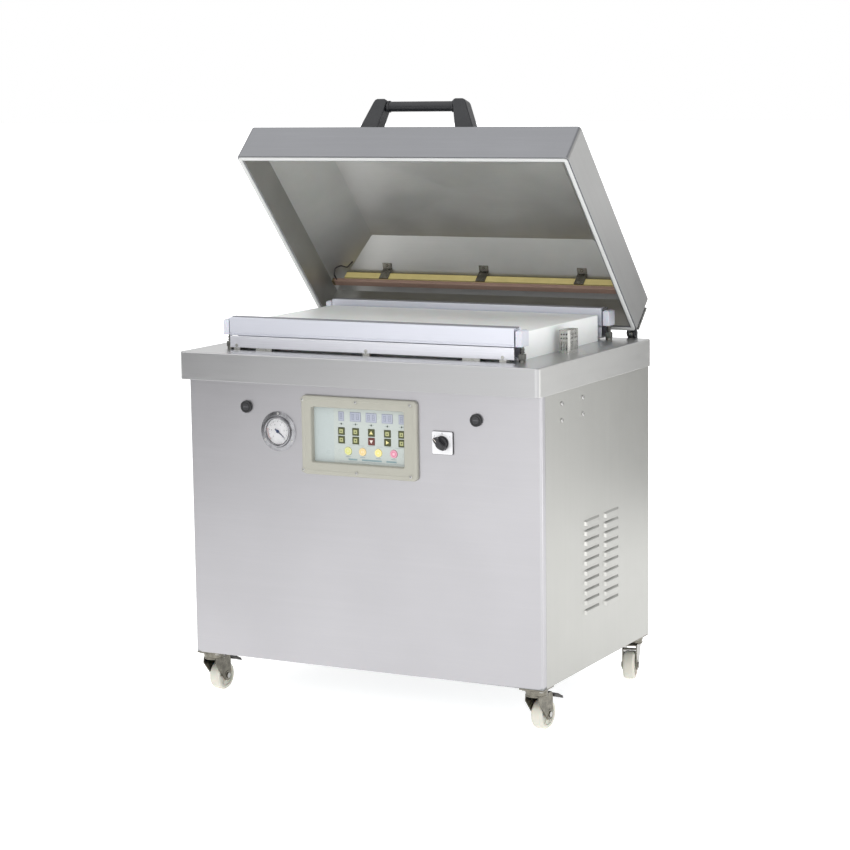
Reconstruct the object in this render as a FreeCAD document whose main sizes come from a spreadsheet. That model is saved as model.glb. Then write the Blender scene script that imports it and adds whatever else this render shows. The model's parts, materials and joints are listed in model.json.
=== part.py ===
"""Floor-standing vacuum packing machine with a hinged vacuum lid, as a parametric FreeCAD document.

Millimetres, +Z up, +X to the operator's right, -Y to the front. The origin is on the floor under the
centre of the machine's box. Three local frames are used, each placed once per sub-part:
machine (floor level, bench centre), lid (hinge axis, lid closed) and caster (swivel axis, floor level).
"""
import FreeCAD, Part
import math
import os
import re

import Sketcher

Vector = FreeCAD.Vector
Rotation = FreeCAD.Rotation

doc = FreeCAD.newDocument("VacuumPackingMachine")
sheet = doc.addObject("Spreadsheet::Sheet", "Dimensions")

DIMENSIONS = {
    # the open lid reaches further forward than the rear fittings reach back: the bench centre lies this
    # far from the origin along Y, so that the origin stays under the centre of the whole machine's box
    "origin_shift": -26.27,
    # bench (the vacuum chamber's floor)
    "bench_width": 850, "bench_depth": 589, "bench_level": 757, "bench_apron": 60,
    "bench_plate": 6, "bench_wall": 3, "bench_lip": 27, "bench_corner": 10, "bench_edge": 3,
    "port_x": 360, "port_y": -4, "port_bore": 9,
    # cabinet
    "cabinet_width": 836, "cabinet_front": -267, "cabinet_depth": 561.5, "cabinet_base": 93,
    "cabinet_height": 604, "skin": 2, "floor_plate": 3, "post": 25, "post_wall": 3,
    # louvres of a side panel: two columns of ten
    "louvre_rows": 10, "louvre_pitch": 21.2, "louvre_low": 212.4, "louvre_length": 82,
    "louvre_first": -62, "louvre_second": 42, "louvre_slot": 8, "louvre_blade": 1.2, "louvre_rise": 12,
    "louvre_tilt": 24,
    # lid, in the lid frame
    "lid_width": 795, "lid_depth": 538, "lid_height": 90, "lid_wall": 2.5, "lid_corner": 8,
    "roof_rise": 69.5, "roof_side": 115, "roof_end": 121.5,
    "rim_width": 14, "rim_plate": 2, "gasket_width": 8, "gasket_height": 2.7,
    "lid_rear": 16.2, "lid_low": -7, "hinge_y": 297.7, "hinge_level": 767, "open_angle": 46.73,
    # lid handle
    "handle_foot_in": 95, "handle_foot_out": 139, "handle_top_in": 80, "handle_top_out": 112,
    "handle_height": 70, "handle_depth": 30, "handle_inset": 34, "grip_radius": 11, "grip_level": 56,
    # hinges
    "hinge_x": 378, "hinge_pin": 5, "hinge_hub": 9, "hinge_fit": 0.05, "arm_thick": 8, "ear_thick": 5,
    "ear_gap": 0.5, "hinge_foot": 40, "foot_height": 62, "lever": 40, "bracket_plate": 4,
    "bracket_width": 44, "bracket_drop": 58, "washer_radius": 10,
    # gas springs
    "spring_drop": 300, "spring_back": 30, "spring_body": 11, "spring_bore": 8, "spring_rod": 4,
    "spring_eye": 12.5, "spring_eye_bore": 8, "spring_pin": 4, "spring_tube_low": 14, "spring_tube": 214,
    "spring_eye_half": 4, "spring_neck": 3.5, "piston_low": 80, "piston_length": 12,
    # seal bars: front and rear
    "bar_front_y": -207, "bar_rear_y": 238, "bar_half": 338, "bar_depth": 35, "bar_low": 31,
    "bar_height": 39, "silicone_width": 16, "silicone_height": 2, "channel_low": 5, "channel_height": 25,
    "channel_wall": 2.5, "end_block": 14, "end_block_height": 32, "end_gap": 3, "guide_radius": 4,
    "guide_height": 45, "guide_collar": 7, "foot_depth": 22, "bar_tongue": 14,
    "heater_half": 385, "heater_width": 16, "heater_height": 10, "heater_low": 66.5,
    "backing_half": 355, "backing_height": 20, "clip_width": 24, "clip_foot": 14, "clip_plate": 2,
    "wire_radius": 1.6,
    # filler plate and suction port cover
    "filler_width": 670, "filler_front": -187, "filler_depth": 398, "filler_height": 57, "filler_corner": 6,
    "cover_width": 25, "cover_depth": 48, "cover_height": 48, "cover_wall": 1.5, "cover_hole": 2.0,
    "cover_slot": 3, "cover_slot_height": 19,
    # front panel furniture (levels above the floor)
    "gauge_x": -195.5, "gauge_level": 593, "gauge_flange": 42.5, "gauge_case": 31, "gauge_window": 27.5,
    "gauge_case_depth": 30, "gauge_rim": 9, "dial_depth": 1,
    "switch_x": 196, "switch_level": 591, "switch_plate": 48, "switch_hole": 17,
    "knob_radius": 13, "knob_length": 34, "knob_bar": 11, "knob_low": 7.5, "knob_height": 16,
    "shaft_radius": 3, "switch_thick": 4, "switch_boss": 3, "cam_side": 44, "cam_depth": 48,
    "barrel_side": 23,
    "lock_x": 273, "lock_level": 642, "lock_radius": 14, "lock_barrel": 9, "lock_proud": 6,
    "lock_slot": 18, "cam_width": 16, "cam_length": 34,
    "bezel_x": 2, "bezel_level": 591, "bezel_width": 275, "bezel_height": 168, "bezel_depth": 8,
    "window_width": 220, "window_height": 117, "window_x": -2, "window_level": 592,
    "bezel_wall": 3, "display_height": 18, "board_gap": 6, "board_plate": 1.6,
    "film_depth": 14, "film_plate": 2.8, "key_side": 15.5, "key_round": 8.5, "key_proud": 1.5,
    "key_gap": 0.3, "key_flange": 0.7, "key_plate": 0.8,
    # screw heads
    "bolt_head": 6.5, "bolt_proud": 4.5, "screw_head": 3.2, "screw_proud": 1.6, "hinge_bolt": 4.5,
    "hinge_bolt_x": 17,
    # cooling slots of the rear panel: three columns of six
    "vent_low": 180, "vent_pitch": 22, "vent_column": 150, "vent_length": 90, "vent_slot": 7,
    # rear fittings: both stand at one x, on the rear panel
    "fitting_x": -300, "gland_level": 160, "barb_level": 560, "gland_radius": 8, "gland_nut": 12,
    "gland_bore": 4.5, "barb_radius": 6.5, "barb_tip": 4, "barb_bore": 2.5, "fitting_shank": 14,
    # casters
    "caster_x": 390, "caster_front_y": -239, "caster_rear_y": 267.5, "caster_plate": 54,
    "caster_plate_low": 90, "wheel_radius": 31.5, "wheel_width": 25, "trail": 26, "axle_radius": 4,
    "fork_gap": 28, "fork_leg": 2.5, "pedal_x": 30, "pedal_level": 68, "pedal_pin": 2.5,
    "pedal_hub": 4.5, "fork_top": 78, "raceway": 23, "king_pin": 5,
    # machinery
    "pump_x": -110, "pump_y": 10, "pump_rail": 300, "pump_rail_depth": 150, "pump_foot": 20,
    "block_length": 120, "block_depth": 140, "block_height": 150, "tank_height": 40,
    "motor_radius": 66, "cowl_radius": 70, "motor_level": 100, "inlet_radius": 14,
    "core_x": 250, "core_y": 120, "core_length": 120, "core_depth": 90, "core_height": 110,
    "core_limb": 18, "core_slot": 76, "core_slot_height": 74, "winding_radius": 36, "winding_x": 22,
    "valve_x": 250, "valve_y": -40, "valve_level": 600, "valve_rail": 160, "coil_radius": 14,
    "coil_pitch": 50, "coil_height": 34, "hose_radius": 12,
}
WORDS = re.compile(r"[a-z_]+")

# control panel layout: five columns, each with a display and two square keys, over four round keys
FILM = "(cabinet_front - bezel_depth + film_depth)"
COLUMNS = (-46.0, -12.0, 25.5, 63.5, 97.0)
DISPLAY_LEVEL = 632.5
DISPLAY_WIDTHS = (11.5, 24.0, 24.0, 24.0, 11.5)
KEY_ROWS = (("up", 601.0), ("down", 582.7))
ROUND_KEYS = (-30.5, 4.0, 41.5, 78.0)
ROUND_LEVEL = 559.6
KEYS = [(f"key_{row_name}_{index}", x, level, "square")
        for row_name, level in KEY_ROWS for index, x in enumerate(COLUMNS, 1)]
KEYS += [(f"key_round_{index}", x, ROUND_LEVEL, "round") for index, x in enumerate(ROUND_KEYS, 1)]
BEZEL_SCREWS = [(x, level) for x in (-132, -4, 124) for level in (516, 665)]
SIDE_BOLTS = [(y, level) for y in (-169, -64) for level in (636.5, 671)]

# seal bars and the heater bars over them
BARS = (("front", "bar_front_y"), ("rear", "bar_rear_y"))
# place along a bladder channel and width of each foot under it
BASE_FEET = ((-322, 16), (-255, 40), (-5, 16), (240, 40), (312, 16))
# places of the clips along each heater bar
CLIPS_X = (-250, 0, 245)

# the lid's centre line in its own frame
LID_MIDDLE = "-(lid_rear + lid_depth/2)"

# name, swivel axis, heading in degrees (where the wheel trails to), and whether it has a brake pedal
CASTERS = (("front_left", "-caster_x", "caster_front_y", 87.0, True),
           ("front_right", "caster_x", "caster_front_y", 84.6, True),
           ("rear_left", "-caster_x", "caster_rear_y", -88.0, False),
           ("rear_right", "caster_x", "caster_rear_y", -76.4, False))

for row, (alias, number) in enumerate(DIMENSIONS.items(), 1):
    sheet.set(f"A{row}", alias)
    sheet.set(f"B{row}", str(number))
    sheet.setAlias(f"B{row}", alias)
doc.recompute()

SUB_PARTS = []


def size(alias):
    """The sheet's value for one alias."""
    return float(sheet.get(alias))


def bind(thing, prop, text):
    """Set a property to a number, or tie it to an expression of sheet aliases."""
    if isinstance(text, (int, float)):
        text = repr(float(text))
    linked = WORDS.sub(lambda word: f"Dimensions.{word.group()}" if word.group() in DIMENSIONS
                       else word.group(), text)
    thing.setExpression(prop, linked)
    return thing


def put(thing, x, y, z):
    """Tie a primitive's place to the sheet."""
    for axis, text in zip("xyz", (x, y, z)):
        bind(thing, f"Placement.Base.{axis}", text)
    return thing


def box(x, y, z, length, width, height):
    """A block from its low corner."""
    block = doc.addObject("Part::Box", "Block")
    for prop, text in (("Length", length), ("Width", width), ("Height", height)):
        bind(block, prop, text)
    return put(block, x, y, z)


def wide_box(cx, cy, z, length, width, height):
    """A block centred on cx, cy and standing on z."""
    return box(f"{cx} - ({length})/2", f"{cy} - ({width})/2", z, length, width, height)


TURNS = {"x": Rotation(Vector(0, 1, 0), 90), "y": Rotation(Vector(1, 0, 0), -90), "z": Rotation()}


def rod(axis, x, y, z, radius, length):
    """A cylinder that starts at x, y, z and runs along +axis."""
    cylinder = doc.addObject("Part::Cylinder", "Rod")
    cylinder.Placement.Rotation = TURNS[axis]
    bind(cylinder, "Radius", radius)
    bind(cylinder, "Height", length)
    return put(cylinder, x, y, z)


def cone(axis, x, y, z, radius, end_radius, length):
    """A cone frustum that starts at x, y, z and runs along +axis."""
    frustum = doc.addObject("Part::Cone", "Cone")
    frustum.Placement.Rotation = TURNS[axis]
    bind(frustum, "Radius1", radius)
    bind(frustum, "Radius2", end_radius)
    bind(frustum, "Height", length)
    return put(frustum, x, y, z)


def ring(axis, x, y, z, radius, bore, length):
    """A tube that starts at x, y, z and runs along +axis."""
    return cut(rod(axis, x, y, z, radius, length), rod(axis, x, y, z, bore, length))


def fuse(*pieces):
    joined = doc.addObject("Part::MultiFuse", "Joined")
    joined.Shapes = list(pieces)
    return joined


def cut(base, *tools):
    result = doc.addObject("Part::Cut", "Trimmed")
    result.Base = base
    result.Tool = tools[0] if len(tools) == 1 else fuse(*tools)
    return result


def common(base, tool):
    overlap = doc.addObject("Part::Common", "Overlap")
    overlap.Base = base
    overlap.Tool = tool
    return overlap


def rounded(base, radius, pick):
    """Fillet the edges of base that pick chooses."""
    doc.recompute()
    fillet = doc.addObject("Part::Fillet", "Rounded")
    fillet.Base = base
    fillet.Edges = [(index, radius, radius) for index, edge in enumerate(base.Shape.Edges, 1) if pick(edge)]
    return fillet


def along(axis):
    """A chooser of the straight edges that run along one axis."""
    def pick(edge):
        if edge.Curve.TypeId != "Part::GeomLine":
            return False
        return abs(edge.tangentAt(edge.FirstParameter)["xyz".index(axis)]) > 0.999
    return pick


def at_level(level):
    """A chooser of the edges that lie wholly at one height."""
    def pick(edge):
        return all(abs(vertex.Z - level) < 1e-4 for vertex in edge.Vertexes)
    return pick


def new_body(label):
    return doc.addObject("PartDesign::Body", label)


def new_sketch(body, plane, offset=0.0):
    """A sketch on one of the body's own origin planes, moved along that plane's normal."""
    sketch = body.newObject("Sketcher::SketchObject", "Sketch")
    support = next(item for item in body.Origin.OriginFeatures if item.Role == plane)
    sketch.AttachmentSupport = [(support, "")]
    sketch.MapMode = "FlatFace"
    bind(sketch, "AttachmentOffset.Base.z", offset)
    return sketch


def limit(sketch, kind, references, text):
    """Add one dimension to a sketch and tie it to the sheet."""
    index = sketch.addConstraint(Sketcher.Constraint(kind, *references, 1.0))
    bind(sketch, f"Constraints[{index}]", text)


def rectangle(sketch, left, low, width, height):
    """A closed rectangle: its low corner's place and its sides follow the sheet."""
    corners = [Vector(0, 0), Vector(1, 0), Vector(1, 1), Vector(0, 1)]
    first = sketch.GeometryCount
    for index, corner in enumerate(corners):
        sketch.addGeometry(Part.LineSegment(corner, corners[(index + 1) % 4]), False)
    for index in range(4):
        following = first + (index + 1) % 4
        sketch.addConstraint(Sketcher.Constraint("Coincident", first + index, 2, following, 1))
        direction = "Horizontal" if index % 2 == 0 else "Vertical"
        sketch.addConstraint(Sketcher.Constraint(direction, first + index))
    limit(sketch, "DistanceX", (-1, 1, first, 1), left)
    limit(sketch, "DistanceY", (-1, 1, first, 1), low)
    limit(sketch, "DistanceX", (first, 1, first, 2), width)
    limit(sketch, "DistanceY", (first + 1, 1, first + 1, 2), height)


def wide_rectangle(sketch, cx, cy, width, height):
    rectangle(sketch, f"{cx} - ({width})/2", f"{cy} - ({height})/2", width, height)


def circle(sketch, cx, cy, radius):
    """A circle whose centre and radius follow the sheet."""
    index = sketch.addGeometry(Part.Circle(Vector(1, 1), Vector(0, 0, 1), 1), False)
    limit(sketch, "DistanceX", (-1, 1, index, 3), cx)
    limit(sketch, "DistanceY", (-1, 1, index, 3), cy)
    limit(sketch, "Radius", (index,), radius)


def outline(sketch, points):
    """A closed outline of straight sides through the points."""
    for start, end in zip(points, points[1:] + points[:1]):
        sketch.addGeometry(Part.LineSegment(Vector(*start), Vector(*end)), False)


def pad(body, sketch, length, reverse=False, midplane=False):
    feature = body.newObject("PartDesign::Pad", "Pad")
    feature.Profile = sketch
    bind(feature, "Length", length)
    feature.Reversed = reverse
    feature.Midplane = midplane
    return feature


def pocket(body, sketch, length, reverse=False):
    feature = body.newObject("PartDesign::Pocket", "Pocket")
    feature.Profile = sketch
    bind(feature, "Length", length)
    feature.Reversed = reverse
    return feature


def body_fillet(body, radius, pick):
    """Round the edges of the body's last feature that pick chooses."""
    doc.recompute()
    last = body.Tip
    feature = body.newObject("PartDesign::Fillet", "Fillet")
    edges = [f"Edge{index}" for index, edge in enumerate(last.Shape.Edges, 1) if pick(edge)]
    feature.Base = (last, edges)
    bind(feature, "Radius", radius)
    return feature


def revolved(body, points):
    """Turn an outline given as (radius, along) pairs about the body's own Z axis."""
    sketch = new_sketch(body, "XZ_Plane")
    outline(sketch, points)
    feature = body.newObject("PartDesign::Revolution", "Turned")
    feature.Profile = sketch
    feature.ReferenceAxis = (sketch, ["V_Axis"])
    feature.Angle = 360.0
    return feature


def sub_part(label, pieces, frame="machine"):
    """Name a sub-part and place it from its local frame into the origin's frame."""
    if len(pieces) == 1 and pieces[0].TypeId == "PartDesign::Body":
        thing = pieces[0]
    else:
        thing = doc.addObject("Part::Compound", label)
        thing.Links = pieces
    thing.Label = label
    if frame == "machine":
        put(thing, 0, "origin_shift", 0)
    elif frame == "lid":
        put(thing, 0, "hinge_y + origin_shift", "hinge_level")
        thing.Placement.Rotation = Rotation(Vector(1, 0, 0), -1.0)
        bind(thing, "Placement.Rotation.Angle", "-open_angle")
    else:
        x, y, angle = frame
        put(thing, x, f"{y} + origin_shift", 0)
        thing.Placement.Rotation = Rotation(Vector(0, 0, 1), angle)
    SUB_PARTS.append(thing)
    return thing


# ------------------------------------------------------------------------------------------ cabinet
def build_cabinet_frame():
    """Welded chassis: floor plate, four angle posts and a flat ring under the bench."""
    inner_width = "(cabinet_width - 2*skin)"
    inner_depth = "(cabinet_depth - 2*skin)"
    front = "(cabinet_front + skin)"
    pieces = [wide_box(0, f"{front} + {inner_depth}/2", "cabinet_base", inner_width, inner_depth,
                       "floor_plate")]
    for side in (-1, 1):
        for end in (0, 1):
            x = f"{side}*({inner_width}/2 - post/2)"
            y = f"{front} + post/2 + {end}*({inner_depth} - post)"
            inward = f"{1 - 2 * end}*post_wall"
            outer = wide_box(x, y, "cabinet_base", "post", "post", "cabinet_height")
            hollow = wide_box(f"{x} - {side}*post_wall", f"{y} + {inward}", "cabinet_base - 1", "post",
                              "post", "cabinet_height + 2")
            pieces.append(cut(outer, hollow))
    top = "cabinet_base + cabinet_height - post_wall"
    middle = f"{front} + {inner_depth}/2"
    pieces.append(cut(wide_box(0, middle, top, inner_width, inner_depth, "post_wall"),
                      wide_box(0, middle, f"{top} - 1", f"{inner_width} - 2*post",
                               f"{inner_depth} - 2*post", "post_wall + 2")))
    sub_part("cabinet_frame", [fuse(*pieces)])


def build_front_panel():
    """Flat front with openings for the gauge, the control panel, the switch and two quarter-turn locks."""
    body = new_body("front_panel")
    sketch = new_sketch(body, "XZ_Plane")
    wide_rectangle(sketch, 0, "cabinet_base + cabinet_height/2", "cabinet_width", "cabinet_height")
    circle(sketch, "gauge_x", "gauge_level", "gauge_case + 0.5")
    circle(sketch, "switch_x", "switch_level", "switch_hole")
    for side in (-1, 1):
        circle(sketch, f"{side}*lock_x", "lock_level", "lock_barrel + 0.1")
    wide_rectangle(sketch, "bezel_x", "bezel_level", "bezel_width - 30", "bezel_height - 24")
    bind(sketch, "AttachmentOffset.Base.z", "-(cabinet_front + skin)")
    pad(body, sketch, "skin")
    low = size("cabinet_base")

    def low_corner(edge):
        return along("y")(edge) and abs(edge.Vertexes[0].Z - low) < 0.01 and abs(edge.Vertexes[0].X) > 400
    body_fillet(body, 8, low_corner)
    sub_part("front_panel", [body])


def build_side_panel(label, side):
    """Side skin with two columns of louvres: a slot under each slanting blade."""
    outside = f"{side}*cabinet_width/2"
    skin = wide_box(f"{side}*(cabinet_width - skin)/2", "cabinet_front + skin + (cabinet_depth - skin)/2",
                    "cabinet_base", "skin", "cabinet_depth - skin", "cabinet_height")
    slots = []
    blades = []
    tilt = math.radians(size("louvre_tilt"))
    back_x = 0.0 if side > 0 else size("louvre_blade") * math.cos(tilt)
    back_z = 0.0 if side > 0 else -size("louvre_blade") * math.sin(tilt)
    for column in ("louvre_first", "louvre_second"):
        for row_index in range(int(size("louvre_rows"))):
            level = f"louvre_low + {row_index}*louvre_pitch"
            slots.append(box(f"{outside} - 4", column, f"{level} - louvre_slot/2", 8, "louvre_length",
                             "louvre_slot"))
            blade = box(0, 0, 0, "louvre_blade", "louvre_length", "louvre_rise")
            blade.Placement.Rotation = Rotation(Vector(0, 1, 0), side * (180 - size("louvre_tilt")))
            blades.append(put(blade, f"{outside} - {side}*0.8 + {back_x}", column,
                              f"{level} + louvre_slot/2 + 1.5 + {back_z}"))
    sub_part(label, [fuse(cut(skin, *slots), *blades)])


def build_rear_panel():
    """Rear skin with a row of cooling slots and holes for the cable gland and the gas inlet."""
    rear = "(cabinet_front + cabinet_depth - skin)"
    skin = wide_box(0, f"{rear} + skin/2", "cabinet_base", "cabinet_width - 2*skin", "skin",
                    "cabinet_height")
    openings = [rod("y", "fitting_x", f"{rear} - 1", level, f"{radius} + 0.1", "skin + 2")
                for level, radius in (("gland_level", "gland_radius"), ("barb_level", "barb_radius"))]
    for column in (-1, 0, 1):
        for row_index in range(6):
            openings.append(wide_box(f"{column}*vent_column", f"{rear} + skin/2",
                                     f"vent_low + {row_index}*vent_pitch", "vent_length", "skin + 4",
                                     "vent_slot"))
    sub_part("rear_panel", [cut(skin, *openings)])


def build_fasteners():
    """Visible screws: side panel bolts, control panel screws, caster bolts and hinge bolts."""
    screws = []
    for start in ("cabinet_width/2", "-cabinet_width/2 - bolt_proud"):
        for y, level in SIDE_BOLTS:
            screws.append(rod("x", start, y, level, "bolt_head", "bolt_proud"))
    for x, level in BEZEL_SCREWS:
        screws.append(rod("y", x, "cabinet_front - bezel_depth - screw_proud", level, "screw_head",
                          "screw_proud"))
    for side in (-1, 1):
        for offset in ("-hinge_bolt_x", "hinge_bolt_x"):
            screws.append(rod("y", f"{side}*hinge_x + {offset}", "bench_depth/2 + bracket_plate",
                              "bench_level - 45", "hinge_bolt", "bracket_plate"))
    sub_part("fasteners", screws)


# -------------------------------------------------------------------------------------------- bench
def build_bench():
    """Folded bench pan: thick top, apron walls, an inward lip that sits on the cabinet, a suction port."""
    body = new_body("bench_top")
    low = "bench_level - bench_apron"
    sketch = new_sketch(body, "XY_Plane", low)
    wide_rectangle(sketch, 0, 0, "bench_width", "bench_depth")
    pad(body, sketch, "bench_apron")
    body_fillet(body, "bench_corner", along("z"))
    body_fillet(body, "bench_edge", at_level(size("bench_level")))
    throat = new_sketch(body, "XY_Plane", low)
    wide_rectangle(throat, 0, 0, "bench_width - 2*bench_lip", "bench_depth - 2*bench_lip")
    pocket(body, throat, "bench_wall", reverse=True)
    hollow = new_sketch(body, "XY_Plane", f"{low} + bench_wall")
    wide_rectangle(hollow, 0, 0, "bench_width - 4*bench_wall", "bench_depth - 4*bench_wall")
    pocket(body, hollow, "bench_apron - bench_plate - bench_wall", reverse=True)
    port = new_sketch(body, "XY_Plane", "bench_level + 1")
    circle(port, "port_x", "port_y", "port_bore")
    pocket(body, port, "bench_plate + 2")
    sub_part("bench_top", [body])


def build_filler_plate():
    """Loose plastic plate that lifts the bags to the height of the seal bars."""
    plate = wide_box(0, "filler_front + filler_depth/2", "bench_level", "filler_width", "filler_depth",
                     "filler_height")
    upright = rounded(plate, size("filler_corner"), along("z"))
    top = size("bench_level") + size("filler_height")
    sub_part("filler_plate", [rounded(upright, 2.0, at_level(top))])


def build_port_cover():
    """Thin box over the suction port with two rows of round holes and slots below them."""
    outer = wide_box("port_x", "port_y", "bench_level", "cover_width", "cover_depth", "cover_height")
    upright = rounded(outer, 5.0, along("z"))
    inner = wide_box("port_x", "port_y", "bench_level - 1", "cover_width - 2*cover_wall",
                     "cover_depth - 2*cover_wall", "cover_height - cover_wall + 1")
    openings = []
    for column in range(5):
        y = f"port_y + {7.5 * (column - 2)}"
        for level in (39, 31):
            openings.append(rod("x", "port_x - cover_width/2 - 1", y, f"bench_level + {level}",
                                "cover_hole", "cover_width + 2"))
        openings.append(box("port_x - cover_width/2 - 1", f"{y} - cover_slot/2", "bench_level + 5",
                            "cover_width + 2", "cover_slot", "cover_slot_height"))
    for column in range(3):
        x = f"port_x + {6 * (column - 1)}"
        for level in (39, 31):
            openings.append(rod("y", x, "port_y - cover_depth/2 - 1", f"bench_level + {level}",
                                "cover_hole", "cover_depth + 2"))
        openings.append(box(f"{x} - cover_slot/2", "port_y - cover_depth/2 - 1", "bench_level + 5",
                            "cover_slot", "cover_depth + 2", "cover_slot_height"))
    sub_part("port_cover", [cut(cut(upright, inner), *openings)])


def build_seal_bars():
    """Each seal bar floats on two guide pins over a channel that holds its air bladder."""
    bases = []
    post_x = "bar_half + end_gap + end_block/2"
    for name, y in BARS:
        channel = wide_box(0, y, "bench_level + channel_low", "2*bar_half", "bar_depth", "channel_height")
        groove = wide_box(0, y, "bench_level + channel_low + channel_wall", "2*bar_half + 2",
                          "bar_depth - 2*channel_wall", "channel_height")
        bases.append(cut(channel, groove))
        for x, width in BASE_FEET:
            bases.append(wide_box(x, y, "bench_level", width, "foot_depth", "channel_low"))
        for side in (-1, 1):
            x = f"{side}*({post_x})"
            pin = rod("z", x, y, "bench_level", "guide_radius", "guide_height")
            collar = rod("z", x, y, "bench_level", "guide_collar", "channel_low")
            bases.append(fuse(pin, collar))
        beam = wide_box(0, y, "bench_level + bar_low", "2*bar_half", "bar_depth", "bar_height")
        strip = wide_box(0, y, "bench_level + bar_low + bar_height", "2*bar_half", "silicone_width",
                         "silicone_height")
        solids = [rounded(beam, 1.5, along("x")), strip]
        for side in (-1, 1):
            x = f"{side}*({post_x})"
            block = wide_box(x, y, "bench_level + bar_low + 1", "end_block", "bar_depth",
                             "end_block_height")
            bore = rod("z", x, y, "bench_level", "guide_radius + hinge_fit", "bar_low + 20")
            tongue = wide_box(f"{side}*(bar_half + end_gap/2)", y, "bench_level + bar_low + 12",
                              "end_gap", "bar_tongue", 12)
            solids.append(cut(block, bore))
            solids.append(tongue)
        sub_part(f"seal_bar_{name}", solids)
    sub_part("seal_bar_bases", bases)


# ---------------------------------------------------------------------------------------------- lid
def hipped_solid(width, depth, eave, rise):
    """A box under a hipped roof with a flat top, from the lid's lower edge up, in the lid frame."""
    lower = wide_box(0, LID_MIDDLE, "lid_low", width, depth, f"{eave} - lid_low")
    roof = doc.addObject("Part::Wedge", "Roof")
    # a wedge tapers along its own Y: it is turned so that this points up and its Z points to the front
    roof.Placement.Rotation = Rotation(Vector(1, 0, 0), 90)
    half_width, half_depth = f"({width})/2", f"({depth})/2"
    for name, text in (("Xmin", f"-{half_width}"), ("Xmax", half_width), ("Ymin", 0), ("Ymax", rise),
                       ("Zmin", f"-{half_depth}"), ("Zmax", half_depth),
                       ("X2min", f"roof_side - {half_width}"), ("X2max", f"{half_width} - roof_side"),
                       ("Z2min", f"roof_end - {half_depth}"), ("Z2max", f"{half_depth} - roof_end")):
        bind(roof, name, text)
    put(roof, 0, LID_MIDDLE, eave)
    return fuse(lower, roof)


def lid_outside():
    """The lid's outer solid: walls with rounded corners under a hipped roof."""
    plan = wide_box(0, LID_MIDDLE, "lid_low - 1", "lid_width", "lid_depth", "lid_height + roof_rise + 2")
    return common(rounded(plan, size("lid_corner"), along("z")),
                  hipped_solid("lid_width", "lid_depth", "(lid_low + lid_height)", "roof_rise"))


def build_lid_shell():
    """Lid: a thin hipped shell, open below, with an inward rim flange that carries the gasket."""
    hollow = hipped_solid("lid_width - 2*lid_wall", "lid_depth - 2*lid_wall",
                          "(lid_low + lid_height - lid_wall)", "roof_rise")
    rim = cut(wide_box(0, LID_MIDDLE, "lid_low", "lid_width - 2*lid_wall + 1", "lid_depth - 2*lid_wall + 1",
                       "rim_plate"),
              wide_box(0, LID_MIDDLE, "lid_low - 1", "lid_width - 2*rim_width", "lid_depth - 2*rim_width",
                       "rim_plate + 2"))
    sub_part("lid_shell", [fuse(cut(lid_outside(), hollow), rim)], "lid")


def build_lid_gasket():
    """Silicone frame under the rim flange that closes on the bench."""
    outer = wide_box(0, LID_MIDDLE, "lid_low - gasket_height", "lid_width - 6", "lid_depth - 6",
                     "gasket_height")
    inner = wide_box(0, LID_MIDDLE, "lid_low - gasket_height - 1", "lid_width - 6 - 2*gasket_width",
                     "lid_depth - 6 - 2*gasket_width", "gasket_height + 2")
    round_outer = rounded(outer, 7.0, along("z"))
    sub_part("lid_gasket", [cut(round_outer, inner)], "lid")


def build_lid_handle():
    """Bridge handle standing square on the lid's front slope: two splayed legs and a round grip."""
    slope = size("roof_rise") / size("roof_end")
    centre = -(size("lid_rear") + size("lid_depth") - size("handle_inset"))
    foot = size("lid_low") + size("lid_height") + slope * size("handle_inset")
    crown = size("handle_height")
    solids = []
    for side in (-1, 1):
        body = new_body("HandleLeg")
        sketch = new_sketch(body, "XZ_Plane")
        outline(sketch, [(side * size("handle_foot_in"), 0), (side * size("handle_foot_out"), 0),
                         (side * size("handle_top_out"), crown), (side * size("handle_top_in"), crown)])
        pad(body, sketch, "handle_depth", midplane=True)
        body_fillet(body, 6, lambda edge: along("y")(edge) and edge.Vertexes[0].Z > crown - 1)
        solids.append(body)
    reach = "handle_top_in + 3.8"
    solids.append(rod("x", f"-({reach})", 0, "grip_level", "grip_radius", f"2*({reach})"))
    handle = fuse(*solids)
    handle.Placement.Base = Vector(0, centre, foot)
    handle.Placement.Rotation = Rotation(Vector(1, 0, 0), math.degrees(math.atan(slope)))
    sub_part("lid_handle", [handle], "lid")


def roof_level(y):
    """The height of the lid's inner roof over a place on its front or rear slope, in the lid frame."""
    slope = size("roof_rise") / size("roof_end")
    edge = size("lid_depth") / 2 - size("lid_wall")
    middle = -(size("lid_rear") + size("lid_depth") / 2)
    return size("lid_low") + size("lid_height") - size("lid_wall") + slope * (edge - abs(y - middle))


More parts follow.
